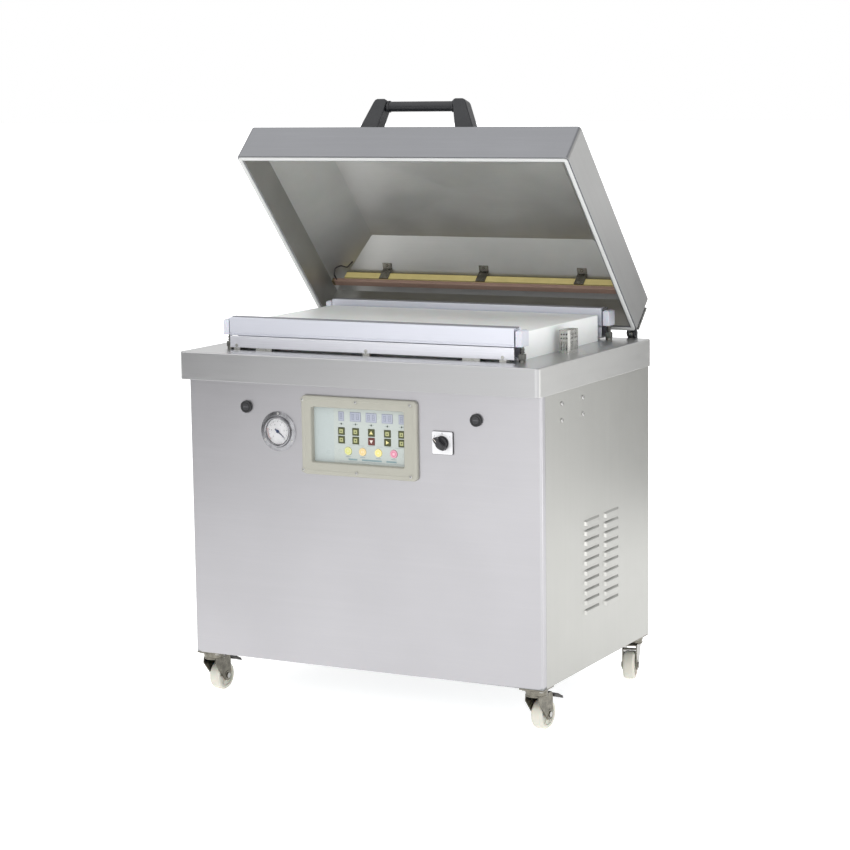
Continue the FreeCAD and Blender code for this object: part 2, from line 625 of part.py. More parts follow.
def build_heater_bars():
    """Two heater bars, each under an insulating strip that hangs from the lid's sloping roof by clips."""
    bars = []
    clips = []
    wires = []
    slope = size("roof_rise") / size("roof_end")
    pitch = math.degrees(math.atan(slope))
    strip_low = "(heater_low + heater_height)"
    for name, level in BARS:
        y = f"({level} - hinge_y)"
        strip = wide_box(0, y, strip_low, "2*backing_half", "heater_width", "backing_height")
        bar = wide_box(0, y, "heater_low", "2*heater_half", "heater_width", "heater_height")
        bars += [strip, rounded(bar, 1.5, along("x"))]
        inward = 1 if name == "front" else -1
        strip_face = size(level) - size("hinge_y") + inward * size("heater_width") / 2
        roof = roof_level(strip_face)
        # the foot lies on the slope: its own thickness points down from it on the rear slope only
        foot_turn = pitch if inward > 0 else 180 - pitch
        foot_drop = size("clip_plate") / math.cos(math.radians(pitch)) if inward > 0 else 0.0
        for x in CLIPS_X:
            plate = wide_box(x, f"{y} + {inward}*(heater_width + clip_plate)/2", f"{strip_low} + 1",
                             "clip_width", "clip_plate", f"{roof} - {strip_low} - 1")
            foot = box(0, 0, 0, "clip_width", "clip_foot", "clip_plate")
            foot.Placement.Rotation = Rotation(Vector(1, 0, 0), foot_turn)
            clips.append(fuse(plate, put(foot, f"{x} - clip_width/2", strip_face + inward,
                                         roof + slope - foot_drop - 0.05)))
        for side in (-1, 1):
            wires.append(wire_loop(side, level))
    sub_part("heater_bars", bars, "lid")
    sub_part("heater_clips", clips, "lid")
    sub_part("heater_wires", wires, "lid")


def tube_along(points, radius, bend):
    """A tube along straight runs joined by tangent arcs of one bend radius."""
    points = [Vector(*point) for point in points]
    edges = []
    start = points[0]
    for before, corner, after in zip(points, points[1:], points[2:]):
        towards = (before - corner).normalize()
        away = (after - corner).normalize()
        half = towards.getAngle(away) / 2
        reach = bend / math.tan(half)
        first = corner + towards * reach
        last = corner + away * reach
        bisector = (towards + away).normalize()
        middle = corner + bisector * (bend / math.sin(half) - bend)
        edges += [Part.LineSegment(start, first).toShape(), Part.Arc(first, middle, last).toShape()]
        start = last
    edges.append(Part.LineSegment(start, points[-1]).toShape())
    path = Part.Wire(edges)
    direction = (points[1] - points[0]).normalize()
    section = Part.Wire([Part.makeCircle(radius, points[0], direction)])
    solid = path.makePipeShell([section], True, True)
    expected = math.pi * radius ** 2 * path.Length
    print(f"tube of radius {radius}: length {path.Length:.0f}, volume ratio {solid.Volume / expected:.3f}")
    return solid


def wire_loop(side, level):
    """Heater lead: out of the bar's end, up in a loop and into the lid's side slope."""
    y = size(level) - size("hinge_y")
    inward = 1 if level == "bar_front_y" else -1
    x = side * (size("heater_half") - 12)
    middle = size("heater_low") + size("heater_height") / 2
    side_slope = size("roof_rise") / size("roof_side")
    end_x = x - side * 34
    inner_half = size("lid_width") / 2 - size("lid_wall")
    roof = size("lid_low") + size("lid_height") - size("lid_wall") + side_slope * (inner_half - abs(end_x))
    points = [(x, y + inward * 8, middle), (x, y + inward * 24, middle),
              (x - side * 2, y + inward * 34, middle + 12), (x - side * 12, y + inward * 32, middle + 22),
              (x - side * 26, y + inward * 24, middle + 24), (end_x, y + inward * 26, roof - 2)]
    feature = doc.addObject("Part::Feature", "Wire")
    feature.Shape = tube_along(points, size("wire_radius"), 6.0)
    return feature


def build_hinges():
    """Two rear hinges: fixed ears with a pin, and a lid arm whose lever takes the gas spring."""
    brackets = []
    arms = []
    bolt_rear = "bench_depth/2"
    half_slot = "(arm_thick/2 + ear_gap)"
    for side in (-1, 1):
        x = f"{side}*hinge_x"
        plate = box(f"{x} - bracket_width/2", bolt_rear, "bench_level - bracket_drop",
                    "bracket_width", "bracket_plate", "bracket_drop - 4")
        ears = []
        for hand in (-1, 1):
            ear_x = f"{x} + {hand}*({half_slot} + ear_thick/2) - ear_thick/2"
            hub = rod("x", ear_x, "hinge_y", "hinge_level", "hinge_hub", "ear_thick")
            web = box(ear_x, f"{bolt_rear} + 1", "bench_level - 50", "ear_thick",
                      "hinge_y + hinge_hub - bench_depth/2 - 1", "50 + hinge_level - bench_level")
            ears += [hub, web]
        shaft_end = f"({half_slot} + ear_thick + 2)"
        pin = rod("x", f"{x} - {shaft_end}", "hinge_y", "hinge_level", "hinge_pin", f"2*{shaft_end}")
        brackets.append(fuse(plate, *ears, pin))
        anchor_x = f"{side}*(hinge_x - arm_thick/2 - ear_gap - spring_eye_half)"
        anchor_level = "hinge_level - spring_drop"
        anchor_y = "hinge_y + spring_back"
        rear = "cabinet_front + cabinet_depth"
        foot = wide_box(anchor_x, f"{rear} + bracket_plate/2", f"{anchor_level} - bracket_width/2",
                        "bracket_width", "bracket_plate", "bracket_width")
        cheek_x = f"{anchor_x} + {side}*(spring_eye_half + ear_gap + ear_thick/2)"
        cheek = wide_box(cheek_x, f"({rear} + {anchor_y} + 8)/2 + 1", f"{anchor_level} - 10",
                         "ear_thick", f"{anchor_y} + 8 - ({rear}) - 2", 20)
        start = f"{anchor_x} - 6.5" if side > 0 else f"{anchor_x} - 7"
        stud = rod("x", start, anchor_y, anchor_level, "spring_pin", 13.5)
        brackets.append(fuse(foot, cheek, stud))

        foot = wide_box(x, "-lid_rear + bracket_plate/2", 0, "hinge_foot", "bracket_plate",
                        "foot_height")
        hub = rod("x", f"{x} - arm_thick/2", 0, 0, "hinge_hub", "arm_thick")
        neck = box(f"{x} - arm_thick/2", "-lid_rear + 3", "-hinge_hub + 3", "arm_thick", "lid_rear - 3",
                   "2*hinge_hub - 3")
        lever = box(f"{x} - arm_thick/2", 0, "-hinge_hub + 2", "arm_thick", "lever", "2*hinge_hub - 4")
        boss = rod("x", f"{x} - arm_thick/2", "lever", 0, "hinge_hub", "arm_thick")
        gusset = box(f"{x} - arm_thick/2", "-lid_rear + 3", 0, "arm_thick", 10, 40)
        solid = cut(fuse(foot, hub, neck, lever, boss, gusset),
                    rod("x", f"{x} - arm_thick", 0, 0, "hinge_pin + hinge_fit", "2*arm_thick"))
        stud_x = f"{x} - {side}*(arm_thick/2 + 4.5) - 4.6"
        stud = rod("x", stud_x, "lever", 0, "spring_pin", 9.2)
        washer_x = f"{x} - {side}*(arm_thick/2 + 10) - 1"
        washer = rod("x", washer_x, "lever", 0, "washer_radius", 2)
        arms.append(fuse(solid, stud, washer))
    sub_part("rear_brackets", brackets)
    sub_part("lid_hinge_arms", arms, "lid")


def build_gas_springs():
    """Two gas springs: cylinders that swing on the lower studs, rods whose eyes ride the lid's levers."""
    angle = math.radians(size("open_angle"))
    eye = Vector(0, size("lever") * math.cos(angle), -size("lever") * math.sin(angle))
    anchor = Vector(0, size("spring_back"), -size("spring_drop"))
    span = eye - anchor
    tilt = math.degrees(math.atan2(span.y, span.z))
    reach = span.Length
    print(f"gas spring: open length {reach:.3f}, lean {tilt:.3f} deg from vertical towards the rear")
    cylinders = []
    rods = []
    for side in (-1, 1):
        x = f"{side}*(hinge_x - arm_thick/2 - ear_gap - spring_eye_half)"
        eye_ring = rod("x", f"{x} - spring_eye_half", 0, 0, "spring_pin + 6", "2*spring_eye_half")
        neck = rod("z", x, 0, 6, "spring_neck", "spring_tube_low - 5")
        tube = rod("z", x, 0, "spring_tube_low", "spring_body", "spring_tube")
        hollow = rod("z", x, 0, "spring_tube_low + 4", "spring_bore", "spring_tube - 12")
        mouth = rod("z", x, 0, "spring_tube_low + spring_tube - 10", "spring_rod + hinge_fit", 12)
        bore = rod("x", f"{x} - 6", 0, 0, "spring_pin + hinge_fit", 12)
        cylinders.append(cut(fuse(eye_ring, neck, tube), hollow, mouth, bore))
        top_eye = ring("x", f"{x} - spring_eye_half", 0, reach, "spring_eye", "spring_eye_bore",
                       "2*spring_eye_half")
        shaft_low = "(piston_low + piston_length - 2)"
        shaft = rod("z", x, 0, shaft_low, "spring_rod", f"{reach} - spring_eye_bore - 1 - {shaft_low}")
        piston = rod("z", x, 0, "piston_low", "spring_bore - hinge_fit", "piston_length")
        rods.append(fuse(top_eye, shaft, piston))
    for label, pieces in (("spring_cylinders", cylinders), ("spring_rods", rods)):
        part = sub_part(label, pieces)
        put(part, 0, "hinge_y + spring_back + origin_shift", "hinge_level - spring_drop")
        part.Placement.Rotation = Rotation(Vector(1, 0, 0), -tilt)


# ---------------------------------------------------------------------------- front panel furniture
def facing_front(body, x, level):
    """Turn a body made about its own +Z axis so that +Z points out of the front panel."""
    put(body, x, "cabinet_front", level)
    body.Placement.Rotation = Rotation(Vector(1, 0, 0), 90)
    return body


def build_gauge():
    """Vacuum gauge: flanged case, dial plate and a needle on a stub shaft."""
    flange = size("gauge_flange")
    case = size("gauge_case")
    window = size("gauge_window")
    rim = size("gauge_rim")
    depth = size("gauge_case_depth")
    body = new_body("GaugeCase")
    revolved(body, [(0, -depth), (case, -depth), (case, 0), (flange, 0), (flange, 2), (case + 3, 3),
                    (case + 1.5, rim), (window, rim), (window, 1), (0, 1)])
    stem = rod("z", 0, 0, "-gauge_case_depth - 14", 6, 14)
    sub_part("gauge_case", [facing_front(fuse(body, stem), "gauge_x", "gauge_level")])

    dial = rod("z", 0, 0, 1, "gauge_window - 0.1", "dial_depth")
    hub = rod("z", 0, 0, "1 + dial_depth", 1.5, 3)
    dial_plate = fuse(dial, hub)
    sub_part("gauge_dial", [facing_front(dial_plate, "gauge_x", "gauge_level")])

    boss = ring("z", 0, 0, "1.5 + dial_depth", 4, 1.55, 1.5)
    body = new_body("NeedleBlade")
    sketch = new_sketch(body, "XY_Plane", "2 + dial_depth")
    outline(sketch, [(3, -1.6), (21, -0.35), (21, 0.35), (3, 1.6)])
    pad(body, sketch, 0.8)
    tail = new_body("NeedleTail")
    sketch = new_sketch(tail, "XY_Plane", "2 + dial_depth")
    outline(sketch, [(-3, -1.4), (-8, -2.2), (-8, 2.2), (-3, 1.4)])
    pad(tail, sketch, 0.8)
    needle = fuse(boss, body, tail)
    put(needle, "gauge_x", "cabinet_front", "gauge_level")
    needle.Placement.Rotation = Rotation(Vector(1, 0, 0), 90) * Rotation(Vector(0, 0, 1), -38)
    sub_part("gauge_needle", [needle])


def build_switch():
    """Rotary cam switch: square plate with its body behind the panel, and a bar knob."""
    plate = box("switch_x - switch_plate/2", "cabinet_front - switch_thick",
                "switch_level - switch_plate/2", "switch_plate", "switch_thick", "switch_plate")
    plate = rounded(plate, 3.0, along("y"))
    boss = rod("y", "switch_x", "cabinet_front - switch_thick - switch_boss", "switch_level",
               "knob_radius + 2", "switch_boss")
    barrel = box("switch_x - barrel_side/2", "cabinet_front", "switch_level - barrel_side/2",
                 "barrel_side", 4, "barrel_side")
    cams = box("switch_x - cam_side/2", "cabinet_front + 4", "switch_level - cam_side/2", "cam_side",
               "cam_depth", "cam_side")
    hole = rod("y", "switch_x", "cabinet_front - 8", "switch_level", "shaft_radius + hinge_fit", 40)
    sub_part("switch_plate", [cut(fuse(plate, boss, barrel, cams), hole)])

    disc = rod("z", 0, 0, "knob_low", "knob_radius", 5)
    bar = rounded(wide_box(0, 0, "knob_low", "knob_bar", "knob_length", "knob_height"), 2.5, along("z"))
    shaft = rod("z", 0, 0, -25, "shaft_radius", 40)
    knob = fuse(disc, bar, shaft)
    put(knob, "switch_x", "cabinet_front", "switch_level")
    knob.Placement.Rotation = Rotation(Vector(1, 0, 0), 90) * Rotation(Vector(0, 0, 1), 45)
    sub_part("switch_knob", [knob])


def build_locks():
    """Quarter-turn panel locks: slotted round head, barrel and cam behind the panel."""
    for label, side in (("lock_left", -1), ("lock_right", 1)):
        x = f"{side}*lock_x"
        head = rod("y", x, "cabinet_front - 0.3 - lock_proud", "lock_level", "lock_radius", "lock_proud")
        head = rounded(head, 1.2, lambda edge: edge.Length > 60 and edge.Vertexes[0].Y < -270)
        slot = wide_box(x, "cabinet_front - lock_proud", "lock_level - 1.5", "lock_slot", 4, 3)
        barrel = rod("y", x, "cabinet_front - 1", "lock_level", "lock_barrel", 16)
        cam = box(f"{x} - cam_width/2", "cabinet_front + 12", "lock_level - cam_width/2", "cam_width", 3,
                  "cam_length")
        sub_part(label, [cut(fuse(head, barrel, cam), slot)])


def build_control_panel():
    """Control panel: moulded bezel with a stepped window and the display board behind it."""
    front = "cabinet_front - bezel_depth"
    block = box("bezel_x - bezel_width/2", front, "bezel_level - bezel_height/2", "bezel_width",
                "bezel_depth", "bezel_height")
    shell = rounded(block, 10.0, along("y"))
    shell = rounded(shell, 2.5, lambda edge: all(v.Y < size("cabinet_front") - size("bezel_depth") + 0.01
                                                 for v in edge.Vertexes))
    back = wide_box("bezel_x", f"{front} + bezel_wall + bezel_depth/2",
                    "bezel_level - bezel_height/2 + bezel_wall", "bezel_width - 2*bezel_wall",
                    "bezel_depth", "bezel_height - 2*bezel_wall")
    skirt = box("window_x - window_width/2 - bezel_wall", f"{front} + 1",
                "window_level - window_height/2 - bezel_wall", "window_width + 2*bezel_wall",
                "film_depth - 1", "window_height + 2*bezel_wall")
    window = box("window_x - window_width/2", f"{front} - 1", "window_level - window_height/2",
                 "window_width", "film_depth + 2", "window_height")
    screw_posts = [rod("y", x, f"{front} + 1", level, 3.4, "bezel_depth - 1") for x, level in BEZEL_SCREWS]
    sub_part("panel_bezel", [cut(fuse(cut(shell, back), skirt, *screw_posts), window)])

    film = box("window_x - window_width/2 - bezel_wall", FILM,
               "window_level - window_height/2 - bezel_wall", "window_width + 2*bezel_wall",
               "film_plate", "window_height + 2*bezel_wall")
    holes = []
    for name, x, level, kind in KEYS:
        reach = f"key_{'side/2' if kind == 'square' else kind} + key_gap"
        holes.append(key_solid(kind, x, level, reach, f"{FILM} - 1", "film_plate + 2"))
    displays = []
    for x, width in zip(COLUMNS, DISPLAY_WIDTHS):
        displays.append(box(x - width / 2, f"{FILM} - 0.6", f"{DISPLAY_LEVEL} - display_height/2", width,
                            0.8, "display_height"))
    board = wide_box("window_x", f"{FILM} + board_gap + board_plate/2",
                     "window_level - window_height/2 + board_gap", "window_width - 2*board_gap",
                     "board_plate", "window_height - 2*board_gap")
    legs = [rod("y", f"window_x + {dx}", f"{FILM} + film_plate", f"window_level + {dz}", 3, 4)
            for dx in (-98, 98) for dz in (-46, 46)]
    sub_part("display_board", [fuse(cut(film, *holes), *displays, board, *legs)])


def key_solid(kind, x, level, reach, start, depth):
    """A square or round block that reaches the same distance from a key's centre each way."""
    if kind == "round":
        return rod("y", x, start, level, reach, depth)
    return box(f"{x} - ({reach})", start, f"{level} - ({reach})", f"2*({reach})", depth, f"2*({reach})")


def build_keys():
    """Push keys: a cap that stands proud of the film and a flange that holds it behind the film."""
    for name, x, level, kind in KEYS:
        reach = "key_side/2" if kind == "square" else "key_round"
        cap = key_solid(kind, x, level, reach, f"{FILM} - key_proud", "key_proud + film_plate + 0.5")
        if kind == "square":
            cap = rounded(cap, 1.5, along("y"))
        flange = key_solid(kind, x, level, f"{reach} + key_flange", f"{FILM} + film_plate + 0.2",
                           "key_plate")
        sub_part(name, [fuse(cap, flange)])


# ------------------------------------------------------------------------------------------ casters
def build_casters():
    """Swivel casters: fixed plate, fork on a king pin, nylon wheel, and a brake pedal at the front."""
    plates = []
    for name, x, y, heading, braked in CASTERS:
        plate = wide_box(x, y, "caster_plate_low", "caster_plate", "caster_plate",
                         "cabinet_base - caster_plate_low")
        race = cone("z", x, y, "caster_plate_low - 5", "raceway - 4", "raceway", 5)
        pin = rod("z", x, y, "fork_top - 5", "king_pin", "cabinet_base - fork_top + 2")
        nut = rod("z", x, y, "fork_top - 5.3", "king_pin + 3", 2.0)
        plates.append(fuse(plate, race, pin, nut))
        frame = (x, y, heading)

        head = rod("z", 0, 0, "fork_top - 3", "raceway", 9.5)
        dish = rod("z", 0, 0, "caster_plate_low - 5.5", "raceway + 1", 4)
        bore = rod("z", 0, 0, "fork_top - 10", "king_pin + hinge_fit", 30)
        cup = cone("z", 0, 0, "caster_plate_low - 5.3", "raceway - 3.7", "raceway + 0.3", 5)
        legs = []
        for side in (-1, 1):
            middle = f"{side}*(fork_gap + fork_leg)/2"
            leg = new_body("ForkLeg")
            sketch = new_sketch(leg, "XZ_Plane")
            radius = size("axle_radius")
            outline(sketch, [(-18, size("fork_top")), (34, size("fork_top")), (38, 68),
                             (size("trail") + 3 * radius, size("wheel_radius") + 6),
                             (size("trail") + 2.2 * radius, size("wheel_radius") - 2.4 * radius),
                             (size("trail") - 2.2 * radius, size("wheel_radius") - 2.4 * radius),
                             (-20, size("fork_top") - 12)])
            bind(sketch, "AttachmentOffset.Base.z", f"-({middle})")
            pad(leg, sketch, "fork_leg", midplane=True)
            legs.append(leg)
        bridge = box(-18, "-fork_gap/2 - fork_leg", "fork_top - 3", 52, "fork_gap + 2*fork_leg", 3)
        axle_end = "(fork_gap/2 + fork_leg + 3)"
        axle = rod("y", "trail", f"-{axle_end}", "wheel_radius", "axle_radius", f"2*{axle_end}")
        bolt_heads = [rod("y", "trail", f"{start}", "wheel_radius", "axle_radius + 2.5", 3)
                      for start in ("fork_gap/2 + fork_leg", "-fork_gap/2 - fork_leg - 3")]
        fork = cut(fuse(head, bridge, *legs), bore,
                   rod("z", 0, 0, "fork_top - 12", "king_pin + 3.4", 9))
        fork = cut(fork, cup)
        pedal_pin = rod("y", "pedal_x", "-fork_gap/2 - fork_leg", "pedal_level", "pedal_pin",
                        "fork_gap + 2*fork_leg")
        fork = fuse(fork, cut(dish, cup, bore), axle, *bolt_heads, pedal_pin)
        sub_part(f"fork_{name}", [fork], frame)

        wheel = new_body(f"wheel_{name}")
        build_wheel(wheel)
        wheel.Label = f"wheel_{name}"
        place_wheel(wheel, frame)
        if braked:
            sub_part(f"pedal_{name}", [brake_pedal()], frame)
    sub_part("caster_plates", plates)


def build_wheel(body):
    """Nylon wheel turned about its own axle, crowned tread and a stepped web."""
    radius = size("wheel_radius")
    half = size("wheel_width") / 2
    bore = size("axle_radius") + size("hinge_fit")
    revolved(body, [(bore, -half), (10, -half), (11, -half + 3), (radius - 9, -half + 3),
                    (radius - 8, -half), (radius - 3, -half), (radius, -half + 4), (radius, half - 4),
                    (radius - 3, half), (radius - 8, half), (radius - 9, half - 3), (11, half - 3),
                    (10, half), (bore, half)])


def place_wheel(body, frame):
    """Lay the turned wheel on its axle behind the swivel axis."""
    x, y, heading = frame
    turn = math.radians(heading)
    put(body, f"{x} + trail*{math.cos(turn)!r}", f"{y} + origin_shift + trail*{math.sin(turn)!r}",
        "wheel_radius")
    body.Placement.Rotation = Rotation(Vector(0, 0, 1), heading) * Rotation(Vector(1, 0, 0), 90)
    SUB_PARTS.append(body)


def brake_pedal():
    """Brake pedal: a hub on the fork's cross pin, a shoe over the tread and a paddle that reaches out."""
    hub = rod("y", "pedal_x", "-(fork_gap/2 - 0.5)", "pedal_level", "pedal_hub", "fork_gap - 1")
    arm = box("pedal_x", "-(fork_gap/2 - 0.5)", "pedal_level - 2.5", 16, "fork_gap - 1", 4)
    body = new_body("Paddle")
    sketch = new_sketch(body, "XZ_Plane")
    outline(sketch, [(42, 69.5), (58, 69), (76, 60), (79, 54), (73, 55.5), (57, 64), (42, 65.5)])
    pad(body, sketch, 36, midplane=True)
    shoe = box("pedal_x + 6", -10, "pedal_level - 4.8", 6, 20, 3)
    bore = rod("y", "pedal_x", "-fork_gap", "pedal_level", "pedal_pin + hinge_fit", "2*fork_gap")
    return cut(fuse(hub, arm, shoe, body), bore)


# ---------------------------------------------------------------------------------------- machinery
def build_machinery():
    """Inside the cabinet: vacuum pump with motor, sealing transformer, valve block and vacuum hose."""
    floor = "(cabinet_base + floor_plate)"
    feet = [rod("z", f"pump_x + {dx}", f"pump_y + {dy}", floor, 12, "pump_foot")
            for dx in (-130, 120) for dy in (-60, 60)]
    block_low = f"{floor} + pump_foot + 6"
    block_x = "pump_x - 80"
    rail = wide_box("pump_x - 5", "pump_y", f"{floor} + pump_foot", "pump_rail", "pump_rail_depth", 6)
    block = wide_box(block_x, "pump_y", block_low, "block_length", "block_depth", "block_height")
    block = rounded(block, 10.0, along("x"))
    tank = wide_box(block_x, "pump_y", f"{block_low} + block_height", "0.75*block_length", 100,
                    "tank_height")
    motor = rod("x", "pump_x - 20", "pump_y", f"{floor} + motor_level", "motor_radius", 150)
    cowl = rod("x", "pump_x + 130", "pump_y", f"{floor} + motor_level", "cowl_radius", 40)
    inlet = rod("z", block_x, "pump_y", f"{block_low} + block_height + tank_height", "inlet_radius", 20)
    machine = fuse(rail, block, tank, motor, cowl, inlet)
    sub_part("vacuum_pump", feet + [machine])

    core = wide_box("core_x", "core_y", floor, "core_length", "core_depth", "core_height")
    windings = [common(rod("z", f"core_x + {hand}*winding_x", "core_y", f"{floor} + core_limb",
                           "winding_radius", "core_slot_height"), core_window())
                for hand in (-1, 1)]
    sub_part("seal_transformer", [fuse(cut(core, core_window()), *windings)])

    coil_low = "valve_level + 30"
    coil_top = f"{coil_low} + coil_height"
    rail = wide_box("valve_x", "valve_y", "valve_level", "valve_rail", 40, 30)
    coils = [rod("z", f"valve_x + {index}*coil_pitch", "valve_y", coil_low, "coil_radius", "coil_height")
             for index in (-1, 0, 1)]
    strap = wide_box("valve_x", "valve_y", coil_top, "valve_rail", 12, 3)
    hanger = wide_box("valve_x", "valve_y", f"{coil_top} + 3", 20, 12, 24)
    tray = wide_box("valve_x", "valve_y", f"{coil_top} + 27", 30, 40, 3)
    side_rail = box("valve_x + 14", "valve_y - 3", f"{coil_top} + 27",
                    "cabinet_width/2 - skin - post_wall - valve_x - 14", 6, 3)
    valves = fuse(rail, *coils, strap, hanger, tray, side_rail)

    hose = doc.addObject("Part::Feature", "Hose")
    inlet_top = sum(map(size, ("cabinet_base", "floor_plate", "pump_foot", "block_height",
                               "tank_height"))) + 26
    start = (size("pump_x") - 80, size("pump_y"), inlet_top)
    port = (size("port_x"), size("port_y"), size("bench_level") - size("bench_plate"))
    points = [start, (start[0], start[1], 480), (start[0] + 130, start[1] - 40, 570),
              (150, -110, 640), (port[0], port[1], 600), port]
    hose.Shape = tube_along(points, size("hose_radius"), 45.0)
    sub_part("valves_and_hose", [valves, hose])


def core_window():
    """The opening in the transformer's core that its windings fill."""
    return wide_box("core_x", "core_y", "cabinet_base + floor_plate + core_limb", "core_slot",
                    "core_depth + 4", "core_slot_height")


def build_rear_fittings():
    """Cable gland and gas-flush hose barb on the rear panel."""
    rear = "(cabinet_front + cabinet_depth)"
    start = f"{rear} - fitting_shank"
    gland = fuse(rod("y", "fitting_x", start, "gland_level", "gland_radius", "fitting_shank"),
                 rod("y", "fitting_x", rear, "gland_level", "gland_nut", 8),
                 cone("y", "fitting_x", f"{rear} + 8", "gland_level", "gland_nut - 1", 7, 12))
    gland = cut(gland, rod("y", "fitting_x", f"{start} - 1", "gland_level", "gland_bore", 40))
    barb = fuse(rod("y", "fitting_x", start, "barb_level", "barb_radius", "fitting_shank"),
                rod("y", "fitting_x", rear, "barb_level", "barb_radius + 3.5", 6),
                rod("y", "fitting_x", f"{rear} + 6", "barb_level", "barb_tip", 24))
    barb = cut(barb, rod("y", "fitting_x", f"{start} - 1", "barb_level", "barb_bore", 50))
    sub_part("rear_fittings", [gland, barb])


build_cabinet_frame()
build_front_panel()
build_side_panel("side_panel_left", -1)
build_side_panel("side_panel_right", 1)
build_rear_panel()
build_fasteners()
build_bench()
build_filler_plate()
build_port_cover()
build_seal_bars()
build_lid_shell()
build_lid_gasket()
build_lid_handle()
build_heater_bars()
build_hinges()
build_gas_springs()
build_gauge()
build_switch()
build_locks()
build_control_panel()
build_keys()
build_casters()
build_machinery()
build_rear_fittings()
doc.recompute()

for thing in doc.Objects:
    if "Invalid" in thing.State or "Error" in thing.State:
        raise RuntimeError(f"{thing.Label} ({thing.TypeId}) failed: {thing.State}")
for part in SUB_PARTS:
    if part.Shape.isNull() or not part.Shape.isValid():
        raise RuntimeError(f"{part.Label} has no valid shape")

os.makedirs("parts", exist_ok=True)
extent = FreeCAD.BoundBox()
for part in SUB_PARTS:
    part.Shape.exportStep(f"parts/{part.Label}.step")
    extent.add(part.Shape.BoundBox)
    print(f"{part.Label}: {len(part.Shape.Solids)} solids, {part.Shape.Volume / 1000:.1f} cm3")
print(f"{len(SUB_PARTS)} sub-parts, box {extent}")
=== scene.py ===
"""Looks of the vacuum packing machine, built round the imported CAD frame. Pieces are made in millimetres in
one of the local frames below (machine, lid, caster) and placed in metres."""
import json
import math

import bmesh
import bpy
from mathutils import Matrix, Vector


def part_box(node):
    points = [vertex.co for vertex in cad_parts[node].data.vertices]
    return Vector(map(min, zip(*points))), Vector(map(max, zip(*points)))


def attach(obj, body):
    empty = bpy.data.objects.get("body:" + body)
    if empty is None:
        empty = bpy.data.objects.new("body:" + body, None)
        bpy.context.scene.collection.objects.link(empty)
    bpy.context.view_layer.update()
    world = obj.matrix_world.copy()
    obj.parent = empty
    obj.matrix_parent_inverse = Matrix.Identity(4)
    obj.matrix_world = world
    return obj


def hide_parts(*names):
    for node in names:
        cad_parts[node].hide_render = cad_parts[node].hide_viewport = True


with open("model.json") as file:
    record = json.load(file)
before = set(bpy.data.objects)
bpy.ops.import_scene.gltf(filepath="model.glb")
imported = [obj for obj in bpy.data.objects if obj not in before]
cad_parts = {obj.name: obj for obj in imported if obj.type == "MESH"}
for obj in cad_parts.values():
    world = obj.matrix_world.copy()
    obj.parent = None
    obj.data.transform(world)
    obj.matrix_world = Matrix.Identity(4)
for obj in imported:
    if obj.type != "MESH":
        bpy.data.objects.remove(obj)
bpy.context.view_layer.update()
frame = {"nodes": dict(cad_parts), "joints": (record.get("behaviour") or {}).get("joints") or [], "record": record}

NODES = frame["nodes"]
JOINTS = {joint["name"]: joint for joint in frame["joints"]}
MM = Matrix.Scale(0.001, 4)

# ------------------------------------------------------------------------------------- local frames
bench_low, bench_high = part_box("bench_top")
BENCH_MIDDLE_Y = (bench_low.y + bench_high.y) / 2
MACHINE = Matrix.Translation((0, BENCH_MIDDLE_Y, 0)) @ MM
OPEN_ANGLE = math.radians(JOINTS["lid_hinge"]["range_deg"][1])
LID = Matrix.Translation(JOINTS["lid_hinge"]["pos_m"]) @ Matrix.Rotation(-OPEN_ANGLE, 4, "X") @ MM


def caster_frame(name):
    """Swivel axis at floor level, +X towards the wheel."""
    swivel = Vector(JOINTS[f"swivel_{name}"]["pos_m"])
    wheel = Vector(JOINTS[f"roll_{name}"]["pos_m"])
    heading = math.atan2(wheel.y - swivel.y, wheel.x - swivel.x)
    return Matrix.Translation((swivel.x, swivel.y, 0)) @ Matrix.Rotation(heading, 4, "Z") @ MM


# ------------------------------------------------------------------------------------ mesh building
SHARP = math.radians(32)
CORNER_STEPS = 6


def block(x0, x1, y0, y1, z0, z1, bevel=0.0, segments=3, pick=None):
    """A box; pick chooses the edges to round."""
    bm = bmesh.new()
    bmesh.ops.create_cube(bm, size=1.0)
    centre = Vector(((x0 + x1) / 2, (y0 + y1) / 2, (z0 + z1) / 2))
    bm.transform(Matrix.Translation(centre) @ Matrix.Diagonal((x1 - x0, y1 - y0, z1 - z0, 1)))
    if bevel > 0:
        round_edges(bm, bevel, segments, pick)
    return bm


def round_edges(bm, bevel, segments, pick):
    edges = [edge for edge in bm.edges if pick is None or pick(edge)]
    bmesh.ops.bevel(bm, geom=edges, offset=bevel, segments=segments, profile=0.5, affect="EDGES",
                    clamp_overlap=True)
    return bm


def runs_along(axis):
    """A picker for the edges that run along an axis, 0 for X, 1 for Y and 2 for Z."""
    def pick(edge):
        direction = (edge.verts[1].co - edge.verts[0].co).normalized()
        return abs(direction[axis]) > 0.99
    return pick


def lathe(profile, segments):
    """Turn (radius, height) points about Z; the ends are closed where the radius is nought."""
    bm = bmesh.new()
    rings = []
    for radius, height in profile:
        if radius < 1e-6:
            rings.append([bm.verts.new((0, 0, height))])
            continue
        rings.append([bm.verts.new((radius * math.cos(2 * math.pi * i / segments),
                                    radius * math.sin(2 * math.pi * i / segments), height))
                      for i in range(segments)])
    for lower, upper in zip(rings, rings[1:]):
        for i in range(segments):
            j = (i + 1) % segments
            corners = [lower[i % len(lower)], lower[j % len(lower)], upper[j % len(upper)],
                       upper[i % len(upper)]]
            unique = list(dict.fromkeys(corners))
            if len(unique) > 2:
                bm.faces.new(unique)
    bmesh.ops.recalc_face_normals(bm, faces=bm.faces)
    return bm


